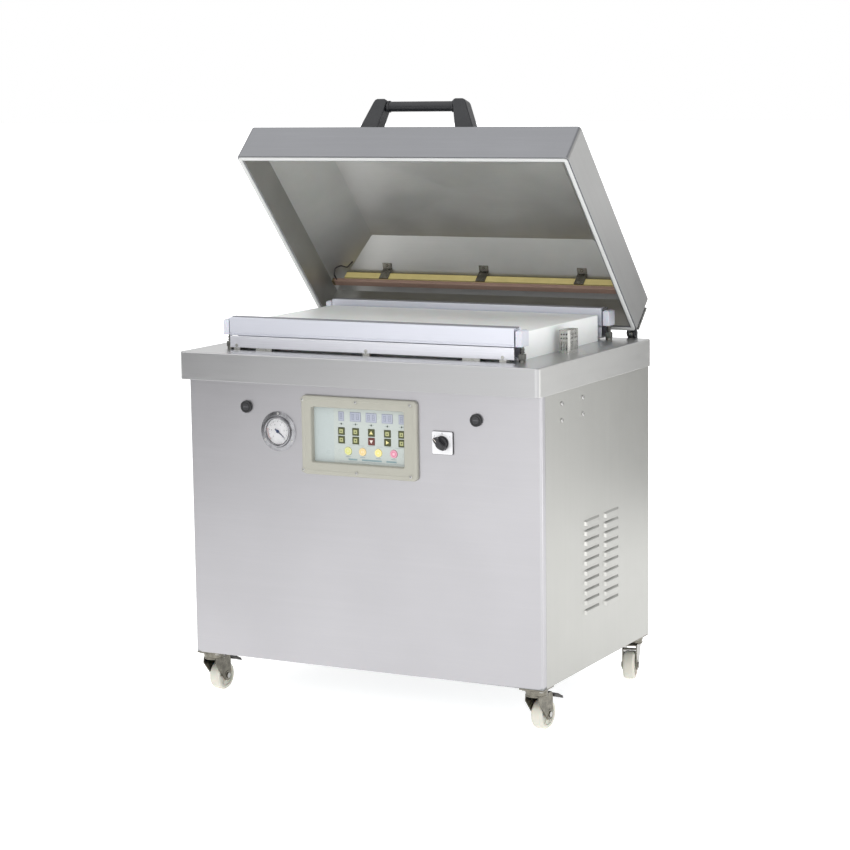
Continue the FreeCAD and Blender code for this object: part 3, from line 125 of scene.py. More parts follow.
def prism(outline, low, high, bevel, segments):
    """An outline in XZ carried along Y from low to high, with the edges round its ends softened."""
    bm = bmesh.new()
    near = [bm.verts.new((x, low, z)) for x, z in outline]
    far = [bm.verts.new((x, high, z)) for x, z in outline]
    bm.faces.new(near)
    bm.faces.new(list(reversed(far)))
    for i in range(len(outline)):
        j = (i + 1) % len(outline)
        bm.faces.new([near[j], near[i], far[i], far[j]])
    bmesh.ops.recalc_face_normals(bm, faces=bm.faces)
    return round_edges(bm, bevel, segments, lambda edge: not runs_along(1)(edge))


def loft(rings, caps=True):
    """Join closed rings of points, each with the same count."""
    bm = bmesh.new()
    levels = [[bm.verts.new(point) for point in points] for points in rings]
    count = len(levels[0])
    for lower, upper in zip(levels, levels[1:]):
        for i in range(count):
            j = (i + 1) % count
            bm.faces.new([lower[i], lower[j], upper[j], upper[i]])
    if caps:
        bm.faces.new(list(reversed(levels[0])))
        bm.faces.new(levels[-1])
    bmesh.ops.recalc_face_normals(bm, faces=bm.faces)
    return bm


def slab(outline, *heights):
    """An outline of (x, y) points carried up through the heights."""
    return loft([[(x, y, z) for x, y in outline] for z in heights])


def thickened(bm, thickness, facing):
    """Turn a skin so that its first face looks along facing, and give it its thickness inward."""
    bmesh.ops.recalc_face_normals(bm, faces=bm.faces)
    if bm.faces[0].normal.dot(facing) < 0:
        bmesh.ops.reverse_faces(bm, faces=bm.faces)
    bmesh.ops.solidify(bm, geom=list(bm.faces), thickness=thickness)
    return bm


def joined(*meshes):
    """One bmesh from several, each kept as its own shell."""
    result = bmesh.new()
    for bm in meshes:
        scratch = bpy.data.meshes.new("scratch")
        bm.to_mesh(scratch)
        bm.free()
        result.from_mesh(scratch)
        bpy.data.meshes.remove(scratch)
    return result


def moved(bm, matrix):
    bm.transform(matrix)
    return bm


def at(x, y, z):
    return Matrix.Translation((x, y, z))


def turned(angle, axis):
    return Matrix.Rotation(math.radians(angle), 4, axis)


def piece(name, bm, place, body, materials, replaces=(), chooser=None, sharp=SHARP):
    """Put a finished bmesh into the scene and onto its CAD body."""
    bm.transform(place)
    for edge in bm.edges:
        edge.smooth = edge.calc_face_angle(0.0) < sharp
    for face in bm.faces:
        face.smooth = True
        if chooser is not None:
            face.material_index = chooser(face)
    mesh = bpy.data.meshes.new(name)
    bm.to_mesh(mesh)
    bm.free()
    for material in materials if isinstance(materials, (list, tuple)) else [materials]:
        mesh.materials.append(material)
    made = bpy.data.objects.new(name, mesh)
    bpy.context.scene.collection.objects.link(made)
    weighted = made.modifiers.new("Normals", "WEIGHTED_NORMAL")
    weighted.keep_sharp = True
    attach(made, body)
    if replaces:
        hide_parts(*replaces)
    return made


def rounded_rect(x0, x1, y0, y1, radius, steps):
    """Points of a rounded rectangle, anticlockwise, always 4 * (steps + 1) of them."""
    points = []
    for cx, cy, start in ((x1 - radius, y1 - radius, 0), (x0 + radius, y1 - radius, 90),
                          (x0 + radius, y0 + radius, 180), (x1 - radius, y0 + radius, 270)):
        for step in range(steps + 1):
            angle = math.radians(start + 90 * step / steps)
            points.append((cx + radius * math.cos(angle), cy + radius * math.sin(angle)))
    return points


def rect_levels(x0, x1, y0, y1, radius, levels):
    """Rounded rectangles stacked at (inset, z) levels."""
    rings = []
    for inset, z in levels:
        corner = max(radius - inset, 0.05)
        rings.append([(x, y, z) for x, y in rounded_rect(x0 + inset, x1 - inset, y0 + inset, y1 - inset,
                                                         corner, CORNER_STEPS)])
    return rings


def rect_frame(x0, x1, y0, y1, radius, levels):
    """A closed frame whose section is given by (inset, z) points."""
    rings = rect_levels(x0, x1, y0, y1, radius, levels)
    return loft(rings + [rings[0]], caps=False)


# ---------------------------------------------------------------------------------------- materials
def add(tree, kind, inputs=None, **settings):
    """A node with its settings made and its inputs set or linked."""
    made = tree.nodes.new(kind)
    for key, value in settings.items():
        setattr(made, key, value)
    for key, value in (inputs or {}).items():
        if isinstance(value, bpy.types.NodeSocket):
            tree.links.new(value, made.inputs[key])
        else:
            made.inputs[key].default_value = value
    return made


def coordinates(tree, scale, turn=0.0):
    """Object coordinates in metres, turned about X and scaled axis by axis."""
    source = add(tree, "ShaderNodeTexCoord").outputs["Object"]
    if turn:
        source = add(tree, "ShaderNodeVectorRotate", {"Vector": source, "Angle": turn},
                     rotation_type="X_AXIS").outputs[0]
    return add(tree, "ShaderNodeVectorMath", {0: source, 1: scale}, operation="MULTIPLY").outputs[0]


def noise(tree, vector, detail=3.0):
    return add(tree, "ShaderNodeTexNoise", {"Vector": vector, "Scale": 1.0, "Detail": detail,
                                            "Roughness": 0.55}).outputs["Fac"]


def spread(tree, value, low, high, start=0.3, end=0.7):
    """Map a noise value's usual range onto low to high."""
    return add(tree, "ShaderNodeMapRange", {"Value": value, "From Min": start, "From Max": end,
                                            "To Min": low, "To Max": high}).outputs[0]


def mixed(tree, factor, first, second):
    made = add(tree, "ShaderNodeMix", data_type="RGBA")
    for socket, value in zip((made.inputs[0], made.inputs[6], made.inputs[7]), (factor, first, second)):
        if isinstance(value, bpy.types.NodeSocket):
            tree.links.new(value, socket)
        else:
            socket.default_value = value
    return made.outputs[2]


def rgb(red, green, blue):
    """A linear colour from display values of 0 to 255."""
    def linear(value):
        value /= 255
        return value / 12.92 if value <= 0.04045 else ((value + 0.055) / 1.055) ** 2.4
    return (linear(red), linear(green), linear(blue), 1.0)


def scaled(colour, factor):
    return tuple(min(1.0, channel * factor) for channel in colour[:3]) + (1.0,)


def varied(tree, tone, value, colour, factor, share=1.0):
    """Draw a tone towards the colour times the factor where the noise value is high."""
    return mixed(tree, spread(tree, value, 0.0, share), tone, scaled(colour, factor))


def painted_edge_highlight(tree, tone, radius, share, highlight_tone):
    """Painted highlight: draw a tone towards a lighter colour along edges, where the rounded normal leaves the
    true one.
    """
    soft = add(tree, "ShaderNodeBevel", {"Radius": radius}, samples=4).outputs[0]
    true = add(tree, "ShaderNodeNewGeometry").outputs["Normal"]
    dot = add(tree, "ShaderNodeVectorMath", {0: soft, 1: true}, operation="DOT_PRODUCT").outputs["Value"]
    return mixed(tree, spread(tree, dot, 0.0, share, 0.985, 0.90), tone, highlight_tone)


def finished(material, tree, shader, tone, rough):
    tree.links.new(tone, shader.inputs["Base Color"])
    tree.links.new(rough, shader.inputs["Roughness"])
    return material


def start_material(name, metallic=0.0, ior=1.5, coat=0.0, coat_rough=0.1):
    material = bpy.data.materials.new(name)
    material.use_nodes = True
    tree = material.node_tree
    shader = tree.nodes["Principled BSDF"]
    shader.inputs["Metallic"].default_value = metallic
    shader.inputs["IOR"].default_value = ior
    shader.inputs["Coat Weight"].default_value = coat
    shader.inputs["Coat Roughness"].default_value = coat_rough
    return material, tree, shader


def bumped(tree, shader, height, strength, distance):
    bump = add(tree, "ShaderNodeBump", {"Height": height, "Strength": strength, "Distance": distance})
    tree.links.new(bump.outputs[0], shader.inputs["Normal"])


# Noise stretch per metre on each axis: coarse along the named axis, fine across it.
GRAIN = {"x": (9.0, 1400.0, 1400.0), "y": (1400.0, 9.0, 1400.0), "z": (1400.0, 1400.0, 9.0)}
STREAK = {"x": (1.6, 90.0, 90.0), "y": (90.0, 1.6, 90.0), "z": (90.0, 90.0, 1.6)}


def brushed(name, colour, rough, grain, contrast, edge, turn=0.0, bump=0.12):
    """Brushed sheet steel: fine grain, broad streaks, faint handling clouds and a painted highlight along the
    edges.
    """
    material, tree, shader = start_material(name, metallic=1.0)
    fine = noise(tree, coordinates(tree, GRAIN[grain], turn), detail=2.0)
    streak = noise(tree, coordinates(tree, STREAK[grain], turn), detail=4.0)
    cloud = noise(tree, coordinates(tree, (3.2, 3.2, 3.2)), detail=4.0)
    tone = varied(tree, scaled(colour, 1 - contrast), fine, colour, 1 + contrast)
    tone = varied(tree, tone, streak, colour, 1 - 1.2 * contrast, 0.5)
    tone = varied(tree, tone, cloud, colour, 0.93, 0.35)
    # Lighter along the edges: painted highlight.
    tone = painted_edge_highlight(tree, tone, 0.0016, edge, scaled(colour, 1.35))
    bumped(tree, shader, fine, bump, 0.0002)
    mix = add(tree, "ShaderNodeMath", {0: fine, 1: cloud}, operation="ADD").outputs[0]
    return finished(material, tree, shader, tone, spread(tree, mix, rough - 0.05, rough + 0.07, 0.7, 1.3))


def polished(name, colour, rough, turn, metallic):
    """Smooth steel with soft smears and a trace of rolling grain."""
    material, tree, shader = start_material(name, metallic=metallic)
    grain = noise(tree, coordinates(tree, (6.0, 500.0, 500.0), turn), detail=2.0)
    smear = noise(tree, coordinates(tree, (7.0, 11.0, 9.0)), detail=5.0)
    tone = varied(tree, scaled(colour, 0.9), smear, colour, 1.08)
    tone = varied(tree, tone, grain, colour, 0.92, 0.35)
    # Lighter along the edges: painted highlight.
    tone = painted_edge_highlight(tree, tone, 0.001, 0.3, scaled(colour, 1.4))
    bumped(tree, shader, grain, 0.06, 0.0002)
    return finished(material, tree, shader, tone, spread(tree, smear, rough - 0.05, rough + 0.08))


def moulded(name, colour, rough, grain_scale=1400.0, bump=0.12, highlight_share=0.12, mottle=0.06, coat=0.0,
            subsurface=0.0):
    """Moulded plastic, rubber or paint: fine texture, faint mottle and a painted highlight along the edges."""
    material, tree, shader = start_material(name, coat=coat)
    fine = noise(tree, coordinates(tree, (grain_scale,) * 3), detail=2.0)
    cloud = noise(tree, coordinates(tree, (26.0, 26.0, 26.0)), detail=4.0)
    tone = varied(tree, scaled(colour, 1 - mottle), cloud, colour, 1 + mottle)
    # A lighter tone for the painted highlight along the edges.
    highlight_tone = tuple(min(1.0, 0.08 + channel * 1.25) for channel in colour[:3]) + (1.0,)
    tone = painted_edge_highlight(tree, tone, 0.0012, highlight_share, highlight_tone)
    if subsurface:
        shader.inputs["Subsurface Weight"].default_value = subsurface
        shader.inputs["Subsurface Scale"].default_value = 0.002
    bumped(tree, shader, fine, bump, 0.0002)
    mix = add(tree, "ShaderNodeMath", {0: fine, 1: cloud}, operation="ADD").outputs[0]
    return finished(material, tree, shader, tone, spread(tree, mix, rough - 0.06, rough + 0.08, 0.7, 1.3))


def printed(name, colour, rough, coat=0.35):
    """Screen-printed film: even ink with a fine dot grain under a thin gloss coat."""
    material, tree, shader = start_material(name, coat=coat, coat_rough=0.12)
    dots = noise(tree, coordinates(tree, (900.0, 900.0, 900.0)), detail=1.0)
    cloud = noise(tree, coordinates(tree, (35.0, 35.0, 35.0)), detail=3.0)
    tone = varied(tree, scaled(colour, 0.95), dots, colour, 1.04)
    tone = varied(tree, tone, cloud, colour, 0.93, 0.4)
    return finished(material, tree, shader, tone, spread(tree, cloud, rough - 0.04, rough + 0.06))


def taped(name, colour, rough):
    """Woven glass cloth with a slick coat, as on heater bars: warp and weft ribs."""
    material, tree, shader = start_material(name)
    pitch = 1500.0
    warp = add(tree, "ShaderNodeTexWave", {"Vector": coordinates(tree, (pitch, 0.0, 0.0)), "Scale": 0.3},
               wave_type="BANDS", bands_direction="X").outputs["Fac"]
    weft = noise(tree, coordinates(tree, (60.0, pitch, pitch)), detail=1.0)
    cloud = noise(tree, coordinates(tree, (18.0, 30.0, 30.0)), detail=4.0)
    weave = add(tree, "ShaderNodeMath", {0: warp, 1: weft}, operation="MULTIPLY").outputs[0]
    tone = mixed(tree, spread(tree, weave, 0.0, 1.0, 0.1, 0.6), scaled(colour, 0.88), scaled(colour, 1.1))
    tone = varied(tree, tone, cloud, colour, 0.75, 0.5)
    bumped(tree, shader, weave, 0.2, 0.0002)
    return finished(material, tree, shader, tone, spread(tree, cloud, rough - 0.05, rough + 0.1))


def bare(name, colour, rough, metallic=1.0, mottle=0.08, scale=60.0):
    """A plain metal finish with mottled tone and roughness, for small parts."""
    material, tree, shader = start_material(name, metallic=metallic)
    cloud = noise(tree, coordinates(tree, (scale,) * 3), detail=4.0)
    fine = noise(tree, coordinates(tree, (scale * 30,) * 3), detail=2.0)
    tone = varied(tree, scaled(colour, 1 - mottle), cloud, colour, 1 + mottle)
    # Lighter along the edges: painted highlight.
    tone = painted_edge_highlight(tree, tone, 0.0006, 0.35, scaled(colour, 1.5))
    bumped(tree, shader, fine, 0.06, 0.0001)
    return finished(material, tree, shader, tone, spread(tree, cloud, rough - 0.05, rough + 0.08))


def glazing(name):
    """Thin clear window with a faint smear in its roughness."""
    material, tree, shader = start_material(name, ior=1.45)
    smear = noise(tree, coordinates(tree, (40.0, 40.0, 40.0)))
    shader.inputs["Base Color"].default_value = (1.0, 1.0, 1.0, 1.0)
    shader.inputs["Transmission Weight"].default_value = 1.0
    tree.links.new(spread(tree, smear, 0.03, 0.08), shader.inputs["Roughness"])
    return material


STEEL_FRONT = brushed("SteelFront", rgb(176, 175, 178), 0.34, "x", contrast=0.03, edge=0.35)
STEEL_SIDE = brushed("SteelSide", rgb(175, 175, 171), 0.36, "z", contrast=0.035, edge=0.35)
# The bench pan is one sheet in three tones, lighter on top and at the ends than on the front apron: painted light
# by face.
STEEL_BENCH = brushed("SteelBench", rgb(196, 196, 196), 0.33, "x", contrast=0.05, edge=0.5)
STEEL_APRON = brushed("SteelApron", rgb(172, 172, 173), 0.35, "x", contrast=0.04, edge=0.5)
# The lid is one sheet in two tones, darker on the roof and the long faces, lighter on the ends: painted light and
# shade by face.
STEEL_LID = brushed("SteelLid", rgb(132, 133, 136), 0.34, "x", contrast=0.07, edge=0.5)
STEEL_LID_SIDE = brushed("SteelLidSide", rgb(160, 160, 159), 0.36, "y", turn=OPEN_ANGLE, contrast=0.07,
                         edge=0.5)
STEEL_INNER = polished("SteelInner", rgb(184, 184, 181), 0.38, turn=OPEN_ANGLE, metallic=0.8)
STEEL_BRIGHT = bare("SteelBright", rgb(178, 178, 174), 0.26)
STEEL_SCREW = bare("SteelScrew", rgb(178, 178, 176), 0.3, scale=200.0)
# The strong, coarse mottle in the zinc's tone is partly the plating's own unevenness and partly painted
# reflection, dark patches standing for dark reflections.
ZINC = bare("ZincPlate", rgb(116, 113, 104), 0.22, mottle=0.35, scale=90.0)
CHROME = bare("Chrome", rgb(222, 222, 224), 0.08, mottle=0.03)
ALUMINIUM = brushed("BarAluminium", rgb(218, 220, 229), 0.42, "x", contrast=0.03, edge=0.3, bump=0.08)
# The strong, coarse mottle in the rim's tone is painted reflection: dark and bright patches standing for the
# chrome's reflections.
GAUGE_RIM = bare("GaugeRim", rgb(150, 150, 153), 0.2, mottle=0.35, scale=60.0)
SWITCH_FACE = bare("SwitchFace", rgb(222, 222, 224), 0.42, metallic=0.6, mottle=0.02, scale=80.0)
PRIMER = moulded("PrimerGrey", rgb(140, 142, 143), 0.5, highlight_share=0.3)
BLACK_METAL = moulded("BlackEnamel", rgb(38, 38, 41), 0.38, highlight_share=0.35, grain_scale=900.0)
BLACK_PLASTIC = moulded("BlackPlastic", rgb(22, 24, 28), 0.42, highlight_share=0.3, grain_scale=2200.0, bump=0.2)
PEDAL_PLASTIC = moulded("PedalPlastic", rgb(44, 42, 40), 0.48, highlight_share=0.4, grain_scale=1500.0, bump=0.25)
KNOB_PLASTIC = moulded("KnobPlastic", rgb(34, 34, 37), 0.3, highlight_share=0.3, grain_scale=2500.0, bump=0.1)
WHITE_SLAB = moulded("WhiteSlab", rgb(240, 243, 242), 0.34, highlight_share=0.1, mottle=0.02, grain_scale=1100.0,
                     subsurface=0.15)
NYLON = moulded("WheelNylon", rgb(200, 198, 187), 0.38, highlight_share=0.1, mottle=0.04, grain_scale=900.0,
                subsurface=0.15)
MILKY = moulded("MilkyBlock", rgb(206, 208, 217), 0.3, highlight_share=0.1, mottle=0.02, subsurface=0.3)
STRIP_GREY = moulded("StripGrey", rgb(124, 125, 130), 0.45, mottle=0.04, grain_scale=800.0)
SILICONE_WHITE = moulded("SiliconeWhite", rgb(198, 199, 198), 0.4, mottle=0.02, grain_scale=900.0)
# Dark grey for the screw heads' cross recesses, where it is painted shade, and for the lock slots.
RECESS_GREY = moulded("RecessGrey", rgb(70, 70, 72), 0.5, mottle=0.08)
BEZEL = moulded("BezelBeige", rgb(157, 156, 146), 0.46, highlight_share=0.15, mottle=0.02, grain_scale=1000.0, bump=0.35)
FILM = printed("PanelFilm", rgb(173, 180, 176), 0.3)
FILM_LEFT = printed("PanelFilmTint", rgb(169, 178, 177), 0.3)
DISPLAY = printed("DisplayWindow", rgb(158, 163, 178), 0.16, coat=0.8)
DISPLAY_RIM = printed("DisplayRim", rgb(134, 138, 154), 0.3)
SEGMENT = printed("DisplaySegment", rgb(140, 145, 160), 0.25, coat=0.5)
KEY_DARK = moulded("KeyOlive", rgb(62, 66, 30), 0.4, highlight_share=0.2, grain_scale=2500.0)
KEY_RED = moulded("KeyRust", rgb(92, 44, 38), 0.4, highlight_share=0.2, grain_scale=2500.0)
GLYPH_GREEN = printed("GlyphGreen", rgb(160, 162, 112), 0.3)
GLYPH_YELLOW = printed("GlyphYellow", rgb(214, 204, 140), 0.3)
GLYPH_WHITE = printed("GlyphWhite", rgb(216, 206, 198), 0.3)
LAMP_OFF = printed("LampOff", rgb(74, 84, 78), 0.2, coat=0.8)
ROUND_KEYS = [moulded(name, colour, 0.34, highlight_share=0.1, mottle=0.03, grain_scale=2500.0, coat=0.3)
              for name, colour in (("KeyLime", rgb(196, 196, 118)), ("KeyAmber", rgb(212, 186, 126)),
                                   ("KeyYellow", rgb(222, 206, 126)), ("KeyPink", rgb(200, 120, 144)))]
ROUND_RINGS = [printed(name, colour, 0.3)
               for name, colour in (("RingLime", rgb(208, 210, 168)), ("RingAmber", rgb(220, 204, 170)),
                                    ("RingYellow", rgb(224, 216, 168)), ("RingPink", rgb(214, 172, 184)))]
DIAL_WHITE = printed("DialWhite", rgb(250, 250, 252), 0.35, coat=0.0)
DIAL_INK = printed("DialInk", rgb(40, 42, 50), 0.4, coat=0.0)
DIAL_RED = printed("DialRed", rgb(170, 50, 50), 0.4, coat=0.0)
GLASS = glazing("GaugeGlass")
HEATER_TAPE = taped("HeaterTape", rgb(158, 130, 116), 0.4)
HEATER_BACK = moulded("HeaterBacking", rgb(214, 198, 132), 0.5, mottle=0.06, grain_scale=700.0)
# Dark brown for the heater bars' end caps and for the painted shade lines along the heater strips' edges.
HEATER_EDGE = moulded("HeaterEdge", rgb(92, 78, 52), 0.5, mottle=0.1)
WIRE = moulded("WireSleeve", rgb(24, 22, 26), 0.4, mottle=0.1)
HOSE_RUBBER = moulded("HoseRubber", rgb(46, 46, 48), 0.5, mottle=0.08, grain_scale=500.0)
PUMP_PAINT = moulded("PumpPaint", rgb(92, 112, 126), 0.36, highlight_share=0.35, mottle=0.05, grain_scale=600.0)
CORE_IRON = moulded("CoreIron", rgb(96, 90, 84), 0.5, highlight_share=0.2, mottle=0.12)
BRASS = bare("Brass", rgb(206, 176, 108), 0.28)
# Apron ends: a lighter copy of the apron's steel, painted light.
STEEL_APRON_SIDE = brushed("SteelApronSide", rgb(188, 188, 186), 0.36, "y", contrast=0.04, edge=0.5)
CHANNEL = brushed("ChannelAluminium", rgb(230, 231, 238), 0.36, "x", contrast=0.09, edge=0.5, bump=0.2)
GUNMETAL = bare("GuideSteel", rgb(112, 112, 108), 0.38, mottle=0.2, scale=120.0)
INK_GREY = printed("PanelInk", rgb(120, 132, 140), 0.4, coat=0.0)
INK_TEAL = printed("PanelTeal", rgb(124, 146, 150), 0.4, coat=0.0)
NEEDLE_BLUE = moulded("NeedleBlue", rgb(44, 58, 92), 0.35, highlight_share=0.2, mottle=0.05)
LOCK_BLACK = moulded("LockBlack", rgb(15, 16, 18), 0.4, highlight_share=0.3, grain_scale=1500.0)

SLOT_LOOKS = {
    "brushed_skin": STEEL_SIDE, "inner_steel": PRIMER, "bright_steel": STEEL_BRIGHT, "zinc_steel": ZINC,
    "black_metal": BLACK_METAL, "chrome_rod": CHROME, "bar_aluminium": ALUMINIUM, "heater": HEATER_TAPE,
    "white_plastic": WHITE_SLAB, "nylon": NYLON, "silicone": SILICONE_WHITE,
    "black_plastic": BLACK_PLASTIC, "gauge_chrome": CHROME, "dial_white": DIAL_WHITE,
    "panel_beige": BEZEL, "panel_film": FILM, "switch_silver": STEEL_BRIGHT, "key_green": KEY_DARK,
    "key_yellow": ROUND_KEYS[2], "machine_paint": PUMP_PAINT, "laminated_core": CORE_IRON,
    "hose_black": HOSE_RUBBER, "fitting_brass": BRASS,
}
NODE_LOOKS = {"bench_top": STEEL_BENCH, "front_panel": STEEL_FRONT, "lid_shell": STEEL_LID,
              "heater_wires": WIRE, "port_cover": STEEL_BRIGHT, "switch_knob": KNOB_PLASTIC,
              "pedal_front_left": PEDAL_PLASTIC, "pedal_front_right": PEDAL_PLASTIC}
SLOTS = {entry["node"]: entry["material_slot"] for entry in frame["record"]["subparts"]}
for node_name, node in NODES.items():
    look = NODE_LOOKS.get(node_name) or SLOT_LOOKS[SLOTS[node_name]]
    for index in range(max(1, len(node.material_slots))):
        if node.material_slots:
            node.material_slots[index].material = look
        else:
            node.data.materials.append(look)


def local_box(name, place):
    """A CAD node's (x0, x1, y0, y1, z0, z1) in one of the local frames, in mm."""
    inverse = place.inverted()
    points = [inverse @ vertex.co for vertex in NODES[name].data.vertices]
    spans = []
    for axis in range(3):
        values = [point[axis] for point in points]
        spans += [min(values), max(values)]
    return spans


def ring_loft(levels, steps=CORNER_STEPS, caps=False):
    """Rounded rectangles, each (x0, x1, y0, y1, radius, z), joined in order."""
    rings = [[(x, y, z) for x, y in rounded_rect(x0, x1, y0, y1, radius, steps)]
             for x0, x1, y0, y1, radius, z in levels]
    return loft(rings, caps=caps)


def square_level(half, inset, radius, z):
    """One level of ring_loft: a square about the origin, drawn in by the inset."""
    return inset - half, half - inset, inset - half, half - inset, radius, z


# ------------------------------------------------------------------------------------------ cabinet
SHEET = 1.6
LOUVRE_LOW, LOUVRE_PITCH, LOUVRE_LENGTH = 212.4, 21.2, 82.0
LOUVRE_STARTS = (-62.0, 42.0)
SIDE_SCREWS_Y, SIDE_SCREWS_Z = (-169, -64), (636.5, 671)
BEZEL_SCREWS_X, BEZEL_SCREWS_Z = (-132, -4, 124), (516, 665)
HINGE_BOLTS_Z = 712


def folded_front():
    """Front skin with folded side returns, a corner relief at the foot and the keypad's opening."""
    x0, x1, y0, _, z0, z1 = local_box("front_panel", MACHINE)
    wx0, wx1, _, _, wz0, wz1 = local_box("display_board", MACHINE)
    fold, back, relief, solid_from = 5.0, 12.0, 5.0, 4.0
    edge = [(x0, y0 + fold + back)]
    for step in range(7):
        angle = math.radians(15 * step)
        edge.append((x0 + fold - fold * math.cos(angle), y0 + fold - fold * math.sin(angle)))
    edge.append((x0 + 9, y0))
    path = edge + [(x0 + 14, y0), (wx0, y0), (wx1, y0)] + [(-x, y) for x, y in reversed(edge)]
    bm = bmesh.new()
    columns = []
    for x, y in path:
        inward = x1 - abs(x)
        drop = max(0.0, relief - 0.5 * max(0.0, inward - solid_from)) if y <= y0 + fold else relief
        columns.append([bm.verts.new((x, y, z)) for z in (z0 + drop, wz0, wz1, z1)])
    for left, right in zip(columns, columns[1:]):
        for row in range(3):
            if row == 1 and left[0].co.x > wx0 - 1 and right[0].co.x < wx1 + 1:
                continue
            bm.faces.new([left[row], right[row], right[row + 1], left[row + 1]])
    piece("front_skin", thickened(bm, SHEET, Vector((-1, 0, 0))), MACHINE, "cabinet", STEEL_FRONT,
          ["front_panel"])
    return y0 + fold + back


def louvre(side, outside, middle, level):
    """One pressed louvre: a flat face under a sloping brow, with rounded ends, open below."""
    columns, rows, reach, ramp, brow = 36, 10, 4.4, 11.5, 0.26
    mouth, height, end_lift, stand_off = -5.5, 12.5, 2.0, 0.05
    bm = bmesh.new()
    grid = []
    for i in range(columns + 1):
        along = -LOUVRE_LENGTH / 2 + LOUVRE_LENGTH * i / columns
        near_end = max(0.0, abs(along) - (LOUVRE_LENGTH / 2 - ramp)) / ramp
        swell = 0.5 + 0.5 * math.cos(math.pi * near_end)
        column = []
        for j in range(rows + 1):
            share = j / rows
            out = reach * swell * min(1.0, (1 - share) / brow) + stand_off
            z = level + mouth + height * share + end_lift * (1 - swell) * (1 - share)
            column.append(bm.verts.new((outside + side * out, middle + along, z)))
        grid.append(column)
    for first, second in zip(grid, grid[1:]):
        for j in range(rows):
            bm.faces.new([first[j], second[j], second[j + 1], first[j + 1]])
    return thickened(bm, 0.9, Vector((side, 0, 0)))


def side_skin(name, side, front_y):
    """Side skin with two columns of pressed louvres over real slots."""
    y1, z0, z1 = local_box(name, MACHINE)[3:]
    outside = local_box("front_panel", MACHINE)[1] * side
    slot_margin, slot_half = 5, 4.0
    levels = [LOUVRE_LOW + LOUVRE_PITCH * row for row in range(10)]
    ys = [front_y + 0.6]
    for start in LOUVRE_STARTS:
        ys += [start + slot_margin, start + LOUVRE_LENGTH - slot_margin]
    ys.append(y1)
    zs = [z0]
    for level in levels:
        zs += [level - slot_half, level + slot_half]
    zs.append(z1)
    bm = bmesh.new()
    grid = [[bm.verts.new((outside, y, z)) for z in zs] for y in ys]
    for i in range(len(ys) - 1):
        for j in range(len(zs) - 1):
            if i % 2 == 1 and j % 2 == 1:
                continue
            bm.faces.new([grid[i][j], grid[i + 1][j], grid[i + 1][j + 1], grid[i][j + 1]])
    bulges = [louvre(side, outside, start + LOUVRE_LENGTH / 2, level)
              for start in LOUVRE_STARTS for level in levels]
    piece(name.replace("panel", "skin"), joined(thickened(bm, SHEET, Vector((side, 0, 0))), *bulges), MACHINE,
          "cabinet", STEEL_SIDE, [name])


def pan_head(radius, height):
    """A domed screw head standing on Z = 0."""
    return lathe([(radius, 0.0), (radius, height * 0.35), (radius * 0.93, height * 0.62),
                  (radius * 0.75, height * 0.86), (radius * 0.45, height * 0.98), (0.0, height)], 28)


def cross_recess(radius, height):
    """The cross in a pan head's crown, as two dark bars: painted shade in the recess."""
    reach, half, low, high = radius * 0.55, radius * 0.11, height * 0.80, height * 1.02
    return [block(-reach, reach, -half, half, low, high), block(-half, half, -reach, reach, low, high)]


def hex_head(across, height, washer=None):
    """A hexagon bolt head with a chamfered top and a washer under it, standing on Z = 0."""
    corner = across / math.sqrt(3)
    rings = []
    for radius, z in ((corner, 0.0), (corner, height * 0.86), (corner * 0.9, height)):
        rings.append([(radius * math.cos(math.radians(60 * i)), radius * math.sin(math.radians(60 * i)), z)
                      for i in range(6)])
    head = loft(rings)
    if washer is None:
        return head
    base = lathe([(0.0, 0.0), (washer, 0.0), (washer, 0.9), (washer - 0.3, 1.2), (0.0, 1.2)], 32)
    return joined(base, moved(head, at(0, 0, 1.2)))


def screws():
    """Side pan heads, keypad screws and hinge bolts, in place of the plain CAD heads."""
    skin = local_box("front_panel", MACHINE)[1]
    pans = [(4.8, 3.0, at(side * skin, y, level) @ turned(90 * side, "Y") @ turned(20, "Z"))
            for side in (1, -1) for y in SIDE_SCREWS_Y for level in SIDE_SCREWS_Z]
    front = local_box("panel_bezel", MACHINE)[2]
    pans += [(3.1, 1.5, at(x, front + 0.1, level) @ turned(90, "X") @ turned(17 + 31 * index, "Z"))
             for index, x in enumerate(BEZEL_SCREWS_X) for level in BEZEL_SCREWS_Z]
    heads = [moved(pan_head(radius, height), place) for radius, height, place in pans]
    recesses = [moved(bar, place) for radius, height, place in pans for bar in cross_recess(radius, height)]
    hinge_x = local_box("lid_hinge_arms", MACHINE)[1] - 20
    plate_back = local_box("bench_top", MACHINE)[3] + 4
    for side in (-1, 1):
        for offset in (-17, 17):
            place = at(side * hinge_x + offset, plate_back, HINGE_BOLTS_Z) @ turned(-90, "X")
            heads.append(moved(hex_head(8.0, 3.0, 5.2), place))
    piece("screw_heads", joined(*heads), MACHINE, "cabinet", STEEL_SCREW, ["fasteners"])
    # The recess bars' dark colour is painted shade.
    piece("screw_recesses", joined(*recesses), MACHINE, "cabinet", RECESS_GREY)


returns_end = folded_front()
side_skin("side_panel_right", 1, returns_end)
side_skin("side_panel_left", -1, returns_end)
screws()


# ---------------------------------------------------------------------------------------------- lid
LID_BOX = local_box("lid_shell", LID)
LID_MIDDLE_Y = (LID_BOX[2] + LID_BOX[3]) / 2
LID_WALL, LID_EAVE, ROOF_END, ROOF_SIDE = 2.5, 83.0, 121.5, 115.0
ROOF_SLOPE = (LID_BOX[5] - LID_EAVE) / ROOF_END
ROOF_PITCH = math.degrees(math.atan(ROOF_SLOPE))
HANDLE_INSET = 34.0
HEATER_CLIPS_X = (-250, 0, 245)


